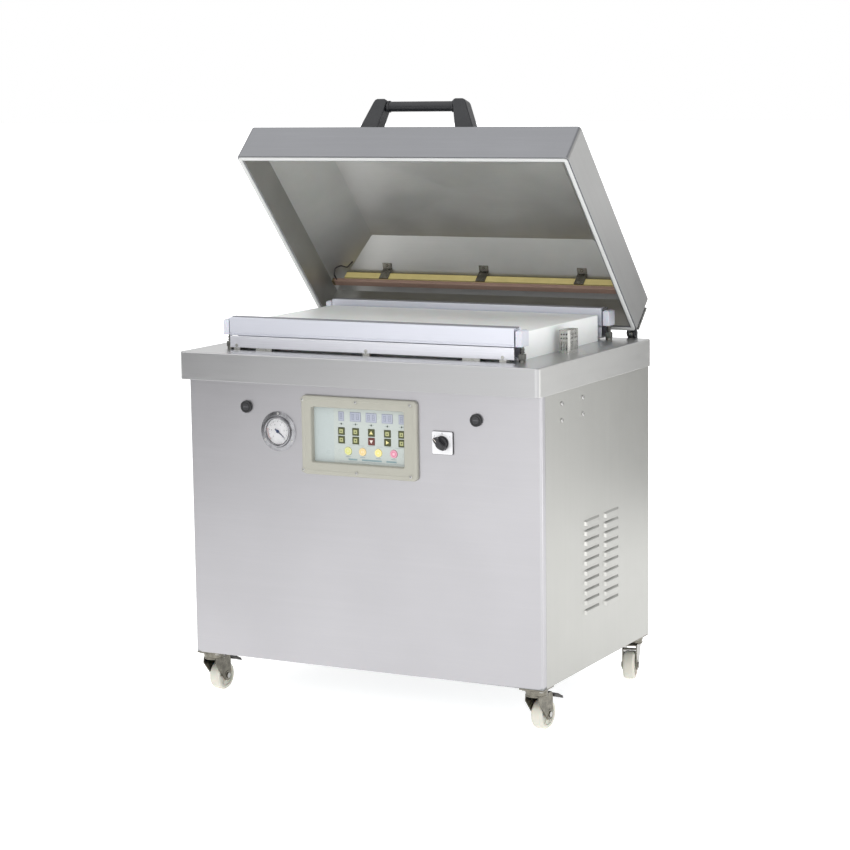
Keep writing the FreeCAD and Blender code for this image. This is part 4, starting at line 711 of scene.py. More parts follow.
def outer_roof(y):
    """Height of the lid's front or rear slope from outside, in the lid frame."""
    return LID_EAVE + ROOF_SLOPE * (LID_BOX[3] - LID_MIDDLE_Y - abs(y - LID_MIDDLE_Y))


def inner_roof(y):
    """The same from inside: the slope starts a wall's thickness in and a wall's thickness lower."""
    return outer_roof(y) - LID_WALL * (1 + ROOF_SLOPE)


def lid_shell_piece():
    """The lid: a rim flange turned in, upright walls, a hipped roof and a cross-broken flat ceiling."""
    x0, x1, y0, y1, z0, z1 = LID_BOX
    corner, rim, plate, crown, steps = 8.0, 14.0, 2.0, 4.0, 16
    wall, eave = LID_WALL, LID_EAVE

    def ring(inset_x, inset_y, radius, z):
        return [(x, y, z) for x, y in rounded_rect(x0 + inset_x, x1 - inset_x, y0 + inset_y, y1 - inset_y,
                                                   max(radius, 0.05), steps)]

    outer = [ring(rim, rim, 0, z0), ring(0.6, 0.6, corner - 0.6, z0), ring(0, 0, corner, z0 + 0.6),
             ring(0, 0, corner, eave - 1.2), ring(0.7, 0.7, corner - 0.7, eave + 0.4)]
    for share in (0.04, 0.3, 0.65, 0.97):
        outer.append(ring(ROOF_SIDE * share, ROOF_END * share, corner - 5 * share,
                          eave + (z1 - eave) * share - 0.02))
    outer += [ring(ROOF_SIDE + 3, ROOF_END + 3, 3.0, z1)]
    inner = [ring(rim, rim, 0, z0), ring(rim, rim, 0, z0 + plate), ring(wall, wall, 0, z0 + plate),
             ring(wall, wall, 0, eave - wall),
             ring(wall + ROOF_SIDE, wall + ROOF_END, 0, z1 - wall - crown / 2)]
    shells = []
    for rings, height in ((outer, z1), (inner, z1 - wall + crown / 2)):
        bm = loft(rings, caps=False)
        bm.verts.ensure_lookup_table()
        count = len(rings[0])
        last = [bm.verts[len(bm.verts) - count + i] for i in range(count)]
        centre = bm.verts.new(((x0 + x1) / 2, (y0 + y1) / 2, height))
        for i in range(count):
            bm.faces.new([last[i], last[(i + 1) % count], centre])
        shells.append(bm)
    bm = joined(*shells)
    bmesh.ops.remove_doubles(bm, verts=bm.verts, dist=0.004)
    bmesh.ops.recalc_face_normals(bm, faces=bm.faces)
    to_lid = LID.inverted()
    turn_to_lid = to_lid.to_3x3()
    look, margin = 6, 1.5

    def chooser(face):
        """Inner finish where the space a little ahead of the face is inside the lid."""
        normal = (turn_to_lid @ face.normal).normalized()
        ahead = to_lid @ face.calc_center_median() + normal * look
        inside = (abs(ahead.x) < x1 - margin and abs(ahead.y - LID_MIDDLE_Y) < (y1 - y0) / 2 - margin
                  and z0 + 1.0 < ahead.z < min(z1, outer_roof(ahead.y),
                                               eave + (z1 - eave) / ROOF_SIDE * (x1 - abs(ahead.x))))
        if inside:
            return 2
        # Outside, the ends facing along X take the lighter copy of the lid's steel: painted light by face.
        return 1 if abs(normal.x) > 0.75 else 0

    made = piece("lid_box", bm, LID, "lid", [STEEL_LID, STEEL_LID_SIDE, STEEL_INNER],
                 ["lid_shell"], chooser, sharp=math.radians(12))
    points = [to_lid @ vertex.co for vertex in made.data.vertices]
    for edge in made.data.edges:
        first, second = (points[index] for index in edge.vertices)
        for centre, rim_point in ((first, second), (second, first)):
            if math.hypot(centre.x, centre.y - LID_MIDDLE_Y) < 1.0 and rim_point.z < z1 - wall:
                edge.use_edge_sharp = True


def lid_gasket_piece():
    """Silicone frame with rounded lips, under the lid's rim."""
    x0, x1, y0, y1, z0, z1 = local_box("lid_gasket", LID)
    width, height, corner = 8.0, z1 - z0, 7.0
    lip = [(0.0, z1), (0.0, z0 + 0.35 * height), (0.8, z0 + 0.1 * height), (2.2, z0)]
    section = lip + [(width - inset, z) for inset, z in reversed(lip)]
    piece("rim_gasket", rect_frame(x0, x1, y0, y1, corner, section), LID, "lid", SILICONE_WHITE,
          ["lid_gasket"])


def lid_handle_piece():
    """Two splayed moulded legs with rounded crowns, a collar each and a round grip."""
    foot_y = LID_BOX[2] + HANDLE_INSET
    frame_on_slope = LID @ at(0, foot_y, outer_roof(foot_y)) @ turned(ROOF_PITCH, "X")
    _, x1, y0, y1, z0, z1 = local_box("lid_handle", frame_on_slope)
    foot_in, top_in, top_out, grip_radius, grip_drop = 95.0, 80.0, 112.0, 11.0, 14.0
    middle, grip_level = (y0 + y1) / 2, z1 - grip_drop
    leg = [(foot_in, z0), (x1, z0), (x1 - 0.8, z0 + 4), (top_out + 2.6, z1 - 14), (top_out - 0.8, z1 - 6.5),
           (top_out - 4.4, z1 - 1.8), (top_out - 9, z1), (top_in + 6, z1), (top_in + 1.8, z1 - 2.2),
           (top_in, z1 - 7)]
    parts = []
    for side in (-1, 1):
        outline = [(side * x, z) for x, z in leg]
        parts.append(prism(outline, y0, y1, 2.6, 4))
        collar = lathe([(0, 0), (12.4, 0), (12.8, 0.8), (12.8, 4.0), (12.2, 4.8), (0, 4.8)], 40)
        parts.append(moved(collar, at(side * (top_in + 0.5), middle, grip_level) @ turned(-90 * side, "Y")))
    reach = top_in + 2
    grip = [(0, -reach), (grip_radius - 0.4, -reach), (grip_radius, -reach + 6), (grip_radius, reach - 6),
            (grip_radius - 0.4, reach), (0, reach)]
    parts.append(moved(lathe(grip, 48), at(0, middle, grip_level) @ turned(90, "Y")))
    piece("handle_bridge", joined(*parts), frame_on_slope, "lid", BLACK_PLASTIC,
          ["lid_handle"])


def heater_pieces():
    """Heater bars in slick woven tape under pale hanging strips with dark lines of painted shade along their
    edges, and their clips.
    """
    x0, x1, y0, y1, z0, z1 = local_box("heater_bars", LID)
    strip_half, half, bar_height, cap_length = 355.0, 8.0, 10.0, 7.5
    clip_half, clip_gauge = 12, 2.0
    low = z0 + bar_height
    strips, edges, bars, caps, clips, clip_screws = [], [], [], [], [], []
    for y, inward in ((y0 + half, 1), (y1 - half, -1)):
        strips.append(block(-strip_half, strip_half, y - half, y + half, low, z1, 0.5, 2))
        # Thin dark plates along the top and bottom of each strip face: painted shade of the gaps there.
        for hand in (-1, 1):
            face = sorted((y + hand * (half - 0.3), y + hand * (half + 0.12)))
            for level in (low + 0.2, z1 - 1.6):
                edges.append(block(-strip_half, strip_half, *face, level, level + 1.4))
        bars.append(block(x0, x1, y - half, y + half, z0, low, 1.8, 4, runs_along(0)))
        for hand in (-1, 1):
            ends = sorted((hand * (x1 - cap_length), hand * (x1 + 0.1)))
            caps.append(block(*ends, y - half - 0.2, y + half + 0.2, z0 - 0.2, low + 0.1, 1.2, 3))
        face = y + inward * half
        for x in HEATER_CLIPS_X:
            sides = sorted((face, face + inward * clip_gauge))
            clips.append(block(x - clip_half, x + clip_half, *sides, low + 1, inner_roof(face) - 0.4, 0.6, 2))
            foot = block(-clip_half, clip_half, 0, 14, -clip_gauge, 0.0, 0.6, 2)
            spot = (at(x, face + inward, inner_roof(face + inward) - 0.05)
                    @ turned(90 - 90 * inward, "Z") @ turned(ROOF_PITCH, "X"))
            clips.append(moved(foot, spot))
            clip_screws.append(moved(pan_head(3.0, 1.8), spot @ at(0, 8.0, -clip_gauge) @ turned(180, "X")))
            clip_screws.append(moved(pan_head(2.2, 1.2), at(x + 6, face + inward * clip_gauge, low + 8)
                                     @ turned(-90 * inward, "X")))
    piece("heater_strips", joined(*strips), LID, "lid", HEATER_BACK, ["heater_bars"])
    piece("heater_strip_shade_lines", joined(*edges), LID, "lid", HEATER_EDGE)
    piece("heater_elements", joined(*bars), LID, "lid", HEATER_TAPE)
    piece("heater_end_caps", joined(*caps), LID, "lid", HEATER_EDGE)
    piece("clip_plates", joined(*clips), LID, "lid", ZINC, ["heater_clips"])
    piece("clip_screws", joined(*clip_screws), LID, "lid", ZINC)


lid_shell_piece()
lid_gasket_piece()
lid_handle_piece()
heater_pieces()


# ------------------------------------------------------------------------------------ bench and bars
def extruded(section, start, end):
    """A section of (y, z) points drawn along X."""
    return loft([[(x, y, z) for y, z in section] for x in (start, end)])


def mirrored_section(left, middle):
    """A closed (y, z) outline from its left half, which is given about the middle."""
    return [(middle + y, z) for y, z in left + [(-y, z) for y, z in reversed(left)]]


def seal_bar_piece(name):
    """Extruded bar with grooves and a silicone strip, and a milky guide block at each end."""
    _, x1, y0, y1, z0, z1 = local_box(name, MACHINE)
    middle, half = (y0 + y1) / 2, (y1 - y0) / 2
    end_block, gap = 14.0, 3.0
    reach = x1 - end_block - gap
    top, strip_half = z1 - 2.0, 8.0
    left = [(-half + 1.6, z0), (-half, z0 + 1.2), (-half, z0 + 4.0), (-half + 1.1, z0 + 4.5),
            (-half + 1.1, z0 + 5.5), (-half, z0 + 6.0), (-half, top - 1.4), (-half + 0.4, top - 0.4),
            (-half + 1.4, top), (-strip_half - 0.3, top), (-strip_half - 0.3, top - 1.6)]
    section = mirrored_section(left, middle)
    piece(name + "_beam", extruded(section, -reach, reach), MACHINE, name, ALUMINIUM,
          [name])
    left = [(-strip_half, top - 1.4), (-strip_half, z1 - 1.2), (-strip_half + 0.8, z1 - 0.6)]
    strip = extruded(mirrored_section(left, middle), -reach + 0.4, reach - 0.4)
    piece(name + "_strip", strip, MACHINE, name, STRIP_GREY)
    blocks, tongues = [], []
    for side in (-1, 1):
        low, high = sorted((side * (x1 - end_block), side * x1))
        body = block(low, high, y0 + 0.1, y1 - 0.1, z0 + 1, z1 - 8, 1.2, 3)
        rib = block(low + 2.5, high - 2.5, y0 + 3, y1 - 3, z1 - 8.2, z1 - 6.4, 0.8, 3)
        blocks.append(joined(body, rib))
        low, high = sorted((side * reach, side * (reach + gap)))
        tongues.append(block(low - 0.4, high + 0.4, y0 + 6, y1 - 6, z0 + 3, z1 - 8, 0.3, 1))
    piece(name + "_blocks", joined(*blocks), MACHINE, name, MILKY)
    piece(name + "_tongues", joined(*tongues), MACHINE, name, STRIP_GREY)


def seal_bar_bases():
    """Bladder channels on their feet, with the guide pins and collars of the seal bars."""
    _, x1, y0, y1, z0, z1 = local_box("seal_bar_bases", MACHINE)
    depth, wall, low, pad = 35.0, 2.5, z0 + 5.0, 1.6
    half = depth / 2
    pin_x = x1 - 7.0
    reach = pin_x - 10.0
    narrow, wide = 16, 40
    feet = ((-322, narrow), (-255, wide), (-5, narrow), (240, wide), (312, narrow))
    channels, steel, posts = [], [], []
    top = local_box("seal_bar_front", MACHINE)[4] - 1.0
    left = [(-half + 1.0, low), (-half, low + 1.0), (-half, top - 3.2), (-half + 0.7, top - 2.8),
            (-half + 0.7, top - 2.0), (-half, top - 1.6), (-half, top - 0.3), (-half + 0.3, top),
            (-half + wall - 0.3, top), (-half + wall, top - 0.3), (-half + wall, low + wall)]
    for middle in (y0 + half, y1 - half):
        channels.append(extruded(mirrored_section(left, middle), -reach, reach))
        for x, width in feet:
            ends = (x - width / 2, x + width / 2)
            steel.append(block(*ends, middle - 16.5, middle + 16.5, z0 + pad, low, 0.4, 2))
            steel.append(block(*ends, middle - 17.3, middle + 17.3, z0, z0 + pad, 0.4, 2))
            if width == narrow:
                steel.append(moved(hex_head(7.0, 3.0, 4.6), at(x, middle - half, low + 5.0)
                                   @ turned(90, "X") @ at(0, 0, -3.4)))
        for hand in (-1, 1):
            spot = at(hand * pin_x, middle, 0)
            post = lathe([(0, z0), (7, z0), (7, z0 + 4.4), (6.4, z0 + 5), (4, z0 + 5), (4, z1 - 1),
                          (3.2, z1), (0, z1)], 32)
            posts.append(moved(post, spot))
            posts.append(moved(block(-6.4, 6.4, -6.4, 6.4, z0 + 5, z0 + 17, 1.2, 3), spot))
            for level in (19.5, 23.0, 26.5):
                coil = lathe([(4, z0 + level - 1.1), (5.6, z0 + level - 0.6), (6.0, z0 + level),
                              (5.6, z0 + level + 0.6), (4, z0 + level + 1.1)], 28)
                posts.append(moved(coil, spot))
    piece("bladder_channels", joined(*channels), MACHINE, "cabinet", CHANNEL,
          ["seal_bar_bases"])
    piece("channel_feet", joined(*steel), MACHINE, "cabinet", STEEL_BRIGHT)
    piece("guide_posts", joined(*posts), MACHINE, "cabinet", GUNMETAL)




def bench_piece():
    """Folded bench pan: soft top edge, plain apron, welded corners and a lip turned in below."""
    x0, x1, y0, y1, z0, z1 = local_box("bench_top", MACHINE)
    corner, edge, lip, plate, wall = 10.0, 3.0, 27.0, 6.0, 3.0
    outer = [(lip, z0), (1.2, z0), (0.3, z0 + 0.4), (0.0, z0 + 1.2), (0.0, z1 - edge)]
    outer += [(edge * (1 - math.cos(math.radians(a))), z1 - edge + edge * math.sin(math.radians(a)))
              for a in (22.5, 45, 67.5, 90)]
    inner = [(lip, z0), (lip, z0 + wall), (2 * wall, z0 + wall), (2 * wall, z1 - plate)]
    shells = [loft(rect_levels(x0, x1, y0, y1, corner, levels), caps=False) for levels in (outer, inner)]
    for bm in shells:
        bm.verts.ensure_lookup_table()
        bm.faces.new(bm.verts[-4 * (CORNER_STEPS + 1):])
    bm = joined(*shells)
    bmesh.ops.remove_doubles(bm, verts=bm.verts, dist=0.02)
    bmesh.ops.recalc_face_normals(bm, faces=bm.faces)
    top = (z1 - 0.3) / 1000

    # Top, front apron and ends take lit and shaded copies of one steel: painted light by face.
    def chooser(face):
        if face.calc_center_median().z > top:
            return 1
        return 2 if abs(face.normal.x) > 0.8 else 0

    piece("bench_pan", bm, MACHINE, "cabinet", [STEEL_APRON, STEEL_BENCH, STEEL_APRON_SIDE],
          ["bench_top"], chooser)


bench_piece()
seal_bar_piece("seal_bar_front")
seal_bar_piece("seal_bar_rear")
seal_bar_bases()


# -------------------------------------------------------------------------------- control panel
PANEL_FRONT = local_box("front_panel", MACHINE)[2]
FILM_X0, FILM_X1, FILM_Z0, FILM_Z1 = -112.0, 108.0, 533.5, 650.5
COLUMNS = (-46.0, -12.0, 25.5, 63.5, 97.0)
DISPLAY_LEVEL, LAMP_LEVEL = 632.5, 616.6
DISPLAY_WIDTHS = (11.5, 24.0, 24.0, 24.0, 11.5)


def facing_front(x, z):
    """A frame on the front skin whose +Z points at the operator, from machine-frame mm."""
    return MACHINE @ at(x, PANEL_FRONT, z) @ turned(90, "X")


def face_frame(node):
    """facing_front on a CAD node's own centre line."""
    x0, x1, _, _, z0, z1 = local_box(node, MACHINE)
    return facing_front((x0 + x1) / 2, (z0 + z1) / 2)


def joint_frame(name):
    """facing_front on a joint's axis."""
    spot = MACHINE.inverted() @ Vector(JOINTS[name]["pos_m"])
    return facing_front(spot.x, spot.z)


def bezel_piece():
    """Moulded keypad frame: soft outer edge, a raised lip and inner walls that slope down to the film."""
    x0, x1, y0, _, z0, z1 = local_box("panel_bezel", MACHINE)
    centre_x, centre_z = (x0 + x1) / 2, (z0 + z1) / 2
    half_x, half_z, proud = (x1 - x0) / 2, (z1 - z0) / 2, PANEL_FRONT - y0
    corner, roll, film, flat = 10.0, 4.0, -6.0, 9.0

    def outer(inset, radius, z):
        return inset - half_x, half_x - inset, inset - half_z, half_z - inset, radius, z

    def window(margin, radius, z):
        return (FILM_X0 - margin - centre_x, FILM_X1 + margin - centre_x, FILM_Z0 - margin - centre_z,
                FILM_Z1 + margin - centre_z, radius, z)

    levels = [outer(0.0, corner, 0.0), outer(0.0, corner, proud - roll)]
    for degrees in (20, 40, 60, 90):
        inset = 3.4 * (1 - math.cos(math.radians(degrees)))
        levels.append(outer(inset, corner - inset, proud - roll + roll * math.sin(math.radians(degrees))))
    levels += [outer(flat, 6.0, proud), outer(flat + 0.8, 5.4, proud - 0.7), window(3.2, 6.5, proud - 0.7),
               window(1.6, 5.0, proud - 1.2), window(0.5, 4.0, proud - 2.6), window(0.0, 3.5, proud - 4.0),
               window(-0.4, 3.0, film)]
    place = facing_front(centre_x, centre_z)
    piece("bezel_frame", ring_loft(levels), place, "cabinet", BEZEL, ["panel_bezel"])
    wells = []
    for x in BEZEL_SCREWS_X:
        for level in BEZEL_SCREWS_Z:
            ring = lathe([(3.4, 0.0), (5.0, 0.0), (5.0, 0.25), (4.7, 0.5), (3.6, 0.5), (3.4, 0.25)], 28)
            wells.append(moved(ring, at(x - centre_x, level - centre_z, proud - 0.45)))
    piece("bezel_wells", joined(*wells), place, "cabinet", BEZEL)


def figure_eight(x, z, height):
    """The seven slim bars of an unlit display figure, as (left, right, low, high) boxes."""
    wide, half, bar = height * 0.25, height / 2, height * 0.13
    return [(x - wide, x + wide, z + half - bar, z + half), (x + wide - bar, x + wide, z, z + half),
            (x + wide - bar, x + wide, z - half, z), (x - wide, x + wide, z - half, z - half + bar),
            (x - wide, x - wide + bar, z - half, z), (x - wide, x - wide + bar, z, z + half),
            (x - wide, x + wide, z - bar / 2, z + bar / 2)]


def panel_face():
    """Printed film: tinted field, display windows with unlit figures, lamps and small generic marks."""
    place = facing_front(0, 0)
    face = PANEL_FRONT - (local_box("display_board", MACHINE)[2] + 0.6)
    ink, rule, tint_width, display_half = face + 0.16, face + 0.14, 48.0, 9.0
    tint = block(FILM_X0, FILM_X0 + tint_width, FILM_Z0, FILM_Z1, face - 0.3, face + 0.12)
    rims, windows, figures, lamps, marks, words = [], [], [], [], [], []
    for x, width in zip(COLUMNS, DISPLAY_WIDTHS):
        for cards, margin, top, soft in ((rims, 0.9, 0.7, 0.3), (windows, -0.3, 0.95, 0.25)):
            reach, rise = width / 2 + margin, display_half + margin
            cards.append(block(x - reach, x + reach, DISPLAY_LEVEL - rise, DISPLAY_LEVEL + rise,
                               face, face + top, soft, 2))
        for offset in (-5.6, 5.6) if width > 15 else (0.0,):
            for bar in figure_eight(x + offset, DISPLAY_LEVEL, 11.5):
                figures.append(block(*bar, face + 0.8, face + 1.05))
        lamp = lathe([(0, 1.0), (1.1, 0.9), (1.9, 0.5), (2.1, 0.0)], 24)
        lamps.append(moved(lamp, at(x, LAMP_LEVEL, face)))
        for hand in (-1, 1):
            tick = x + hand * 4.6
            marks.append(block(tick - 1.3, tick + 1.3, LAMP_LEVEL - 0.4, LAMP_LEVEL + 0.4, face, ink))
    for x in (-30.5, 4.0, 41.5, 78.0):
        marks.append(block(x - 6.0, x + 6.0, 547.2, 548.2, face, ink))
    for x in (-29, -7, 15, 37, 59, 81):
        marks.append(block(x, x + 15.0, 572.2, 572.6, face, rule))
    marks.append(block(-52.5, 104.0, 537.6, 538.1, face, rule))
    for start, end in ((-30.0, -9.0), (2.0, 49.0), (60.0, 84.0)):
        words.append(block(start, end, 540.6, 544.2, face, rule))
    piece("film_tint", tint, place, "cabinet", FILM_LEFT)
    piece("display_rims", joined(*rims), place, "cabinet", DISPLAY_RIM)
    piece("display_windows", joined(*windows), place, "cabinet", DISPLAY)
    piece("display_figures", joined(*figures), place, "cabinet", SEGMENT)
    piece("panel_lamps", joined(*lamps), place, "cabinet", LAMP_OFF)
    piece("panel_marks", joined(*marks), place, "cabinet", INK_GREY)
    piece("panel_captions", joined(*words), place, "cabinet", INK_TEAL)


def arrow(pointing, reach, low, high):
    """A triangle in a key's own frame that points up, down or right."""
    corners = {"up": [(-reach, -reach * 0.7), (reach, -reach * 0.7), (0, reach)],
               "down": [(-reach, reach * 0.7), (0, -reach), (reach, reach * 0.7)],
               "right": [(-reach * 0.7, -reach), (reach, 0), (-reach * 0.7, reach)]}[pointing]
    return slab(corners, low, high)


def square_key(name, index, row):
    """Square key: dark domed rim, a pale raised field and an arrow in its middle."""
    half = 7.75
    top = PANEL_FRONT - local_box(name, MACHINE)[2]
    place = face_frame(name)
    rust = index == 3 and row == "down"
    levels = ((0.0, 1.5, top - 4.6), (0.0, 1.5, top - 0.8), (0.5, 1.3, top - 0.25), (1.3, 1.0, top - 0.12))
    cap = ring_loft([square_level(half, *level) for level in levels], steps=4, caps=True)
    piece(name + "_cap", cap, place, name, KEY_RED if rust else KEY_DARK, [name])
    pointing = {(3, "up"): "up", (3, "down"): "down", (4, "down"): "right"}.get((index, row))
    if pointing is None:
        field = block(-4.3, 4.3, -4.3, 4.3, top - 0.3, top - 0.05, 0.1, 1)
        piece(name + "_field", field, place, name, GLYPH_GREEN)
        piece(name + "_mark", arrow(row, 2.2, top - 0.1, top), place, name, KEY_DARK)
    else:
        ink = GLYPH_WHITE if rust else GLYPH_YELLOW
        piece(name + "_mark", arrow(pointing, 4.2, top - 0.3, top), place, name, ink)


def round_key(name, index):
    """Round key: bright domed cap with a paler ring and a small dark icon."""
    top = PANEL_FRONT - local_box(name, MACHINE)[2]
    place = face_frame(name)
    radius = 8.5
    cap = lathe([(0, top - 4.6), (radius, top - 4.6), (radius, top - 0.7), (radius - 0.35, top - 0.3),
                 (radius - 1.2, top - 0.12), (0, top - 0.06)], 48)
    piece(name + "_cap", cap, place, name, ROUND_KEYS[index - 1], [name])
    ring = lathe([(6.3, top - 0.2), (6.3, top - 0.02), (7.2, top - 0.02), (7.2, top - 0.2)], 48)
    icons = {1: [block(-3.2, 3.2, -0.5, 0.5, top - 0.2, top), block(-0.5, 0.5, -3.2, 3.2, top - 0.2, top)],
             2: [block(-3.0, -0.8, -2.8, 2.8, top - 0.2, top), block(0.8, 3.0, -2.8, 2.8, top - 0.2, top)],
             3: [arrow("up", 2.8, top - 0.2, top)],
             4: [block(-2.6, 2.6, -2.6, 2.6, top - 0.2, top)]}[index]
    piece(name + "_ring", joined(ring, *icons), place, name, ROUND_RINGS[index - 1])


bezel_piece()
panel_face()
for key_index in range(1, 6):
    for key_row in ("up", "down"):
        square_key(f"key_{key_row}_{key_index}", key_index, key_row)
for key_index in range(1, 5):
    round_key(f"key_round_{key_index}", key_index)


# --------------------------------------------------------------------------- gauge, switch and locks
def printed_text(text, height, place):
    """Raised figures about their own centre, as a bmesh in the place given."""
    curve = bpy.data.curves.new("Figures", "FONT")
    curve.body = text
    curve.size = height
    curve.extrude = 0.04
    curve.align_x = "CENTER"
    curve.align_y = "CENTER"
    holder = bpy.data.objects.new("Figures", curve)
    mesh = holder.to_mesh()
    bm = bmesh.new()
    bm.from_mesh(mesh)
    holder.to_mesh_clear()
    bpy.data.objects.remove(holder)
    return moved(bm, place)


def gauge_pieces():
    """Chromed flange and rim, a scale with ticks and figures, the needle and a domed glass."""
    place = face_frame("gauge_case")
    flange, case, window, proud = 42.5, 31.0, 27.5, 9.0
    scale_start, scale_sweep, dial_top, ink_top = 225, 270, 2.0, 2.08
    profile = [(case, 0.0), (flange - 0.5, 0.0), (flange, 0.4), (flange, 1.5), (flange - 0.6, 2.0),
               (case + 4.2, 2.3), (case + 3.2, 2.9), (case + 2.6, 4.0), (case + 2.2, proud - 2.2),
               (case + 1.2, proud - 0.5), (case - 0.4, proud), (window + 1.2, proud - 0.4),
               (window + 0.3, proud - 1.6), (window, proud - 3.2), (window, 1.6)]
    piece("gauge_rim", lathe(profile, 96), place, "cabinet", GAUGE_RIM, ["gauge_case"])
    flange_screws = [moved(pan_head(2.6, 1.3), turned(angle, "Z") @ at(38.0, 0, 2.0) @ turned(-angle, "Z"))
                     for angle in (90, 210, 330)]
    piece("gauge_screws", joined(*flange_screws), place, "cabinet", STEEL_SCREW)
    dial = lathe([(0, dial_top), (window - 0.3, dial_top), (window - 0.3, 1.0), (0, 1.0)], 72)
    piece("gauge_face", dial, place, "cabinet", DIAL_WHITE, ["gauge_dial"])
    ink = []
    for step in range(41):
        inner, half = (19.6, 0.32) if step % 4 == 0 else (21.4, 0.16)
        bar = block(inner, 23.0, -half, half, dial_top, ink_top)
        ink.append(moved(bar, turned(scale_start - scale_sweep * step / 40, "Z")))
    for figure in range(6):
        angle = math.radians(scale_start - scale_sweep * figure / 5)
        spot = at(15.6 * math.cos(angle), 15.6 * math.sin(angle), dial_top + 0.04)
        ink.append(printed_text(str(figure * 2), 4.2, spot))
    arc = [math.radians(scale_start - 60 * step / 24) for step in range(25)]
    inner, outer = ([(radius * math.cos(angle), radius * math.sin(angle)) for angle in arc]
                    for radius in (24.0, 25.2))
    piece("dial_scale", joined(*ink), place, "cabinet", DIAL_INK)
    piece("dial_red", slab(outer + inner[::-1], dial_top, ink_top), place, "cabinet", DIAL_RED)
    glass = lathe([(window + 0.1, proud - 3.4), (window - 4, proud - 2.7), (window - 12, proud - 2.1),
                   (0, proud - 1.8)], 64)
    piece("gauge_glass", glass, place, "cabinet", GLASS)
    edge = [(-8.5, -1.2), (-4.0, -2.0), (-1.5, -1.6), (3, -1.3), (21, -0.3)]
    blade = slab(edge + [(x, -y) for x, y in reversed(edge)], 3.0, 3.7)
    hub = lathe([(0, 2.5), (3.6, 2.5), (3.6, 3.7), (3.0, 4.0), (0, 4.0)], 32)
    piece("needle", joined(moved(blade, turned(-38, "Z")), hub), joint_frame("gauge_needle_turn"),
          "gauge_needle", NEEDLE_BLUE, ["gauge_needle"])


def switch_pieces():
    """Black escutcheon with a silver face, generic figures, a round boss and a bar knob with its line."""
    place = face_frame("switch_plate")
    half = 24.0
    base = ring_loft([square_level(half, *level)
                      for level in ((0, 3.0, 0.0), (0, 3.0, 3.2), (0.4, 2.8, 3.5))], caps=True)
    plate = ring_loft([square_level(half, *level)
                       for level in ((0.6, 2.6, 3.4), (0.6, 2.6, 3.8), (1.0, 2.4, 4.0))], caps=True)
    boss = lathe([(0, 3.6), (15, 3.6), (15, 6.2), (14.4, 7.0), (0, 7.0)], 56)
    piece("switch_base", base, place, "cabinet", KNOB_PLASTIC)
    piece("switch_face", plate, place, "cabinet", SWITCH_FACE, ["switch_plate"])
    piece("switch_collar", boss, place, "cabinet", KNOB_PLASTIC)
    marks = [printed_text(figure, 5.2, at(x, y, 4.02))
             for figure, x, y in (("0", 0, 19.4), ("1", 17.6, 13.6), ("2", -17.6, 13.6))]
    piece("switch_figures", joined(*marks), place, "cabinet", DIAL_INK)
    disc = lathe([(0, 7.5), (12.4, 7.5), (13, 8.2), (13, 11.4), (12.2, 12.5), (0, 12.5)], 56)
    outline = [(-3.4, -15.6), (-1.8, -16.8), (1.8, -16.8), (3.4, -15.6), (5.4, -9), (5.5, 0), (5.4, 9),
               (3.4, 15.6), (1.8, 16.8), (-1.8, 16.8), (-3.4, 15.6), (-5.4, 9), (-5.5, 0), (-5.4, -9)]
    levels = ((1.0, 9.0), (1.0, 20.5), (0.92, 22.4), (0.72, 23.4))
    bar = loft([[(x * share, y * (0.65 + 0.35 * share), z) for x, y in outline] for share, z in levels])
    knob_place = joint_frame("switch_turn") @ turned(45, "Z")
    piece("knob", joined(disc, bar), knob_place, "switch_knob", KNOB_PLASTIC,
          ["switch_knob"])
    line = block(-0.5, 0.5, 6.0, 15.4, 23.1, 23.5)
    piece("knob_line", line, knob_place, "switch_knob", GLYPH_WHITE)


def lock_pieces():
    """Quarter-turn locks: domed black head with a rolled rim and a slot."""
    for name in ("lock_left", "lock_right"):
        place = joint_frame(name + "_turn")
        top = PANEL_FRONT - local_box(name, MACHINE)[2]
        head = lathe([(0, 0.1), (13.0, 0.1), (13.3, 0.6), (13.3, top - 1.8), (12.7, top - 0.4), (11.6, top),
                      (10.6, top - 0.3), (10.0, top - 1.3), (9.4, top - 1.6), (0, top - 1.6)], 64)
        piece(name + "_head", head, place, name, LOCK_BLACK, [name])
        plug = lathe([(0, top - 2.0), (7.6, top - 2.0), (7.6, top - 0.9), (7.0, top - 0.4),
                      (0, top - 0.3)], 48)
        piece(name + "_plug", plug, place, name, BLACK_METAL)
        slot = block(-5.6, 5.6, -1.2, 1.2, top - 1.2, top - 0.2, 0.2, 1)
        piece(name + "_slot", slot, place, name, RECESS_GREY)


gauge_pieces()
switch_pieces()
lock_pieces()


# ------------------------------------------------------------------------------------------ casters
WHEEL_TRAIL, AXLE_LEVEL = 26, 31.5


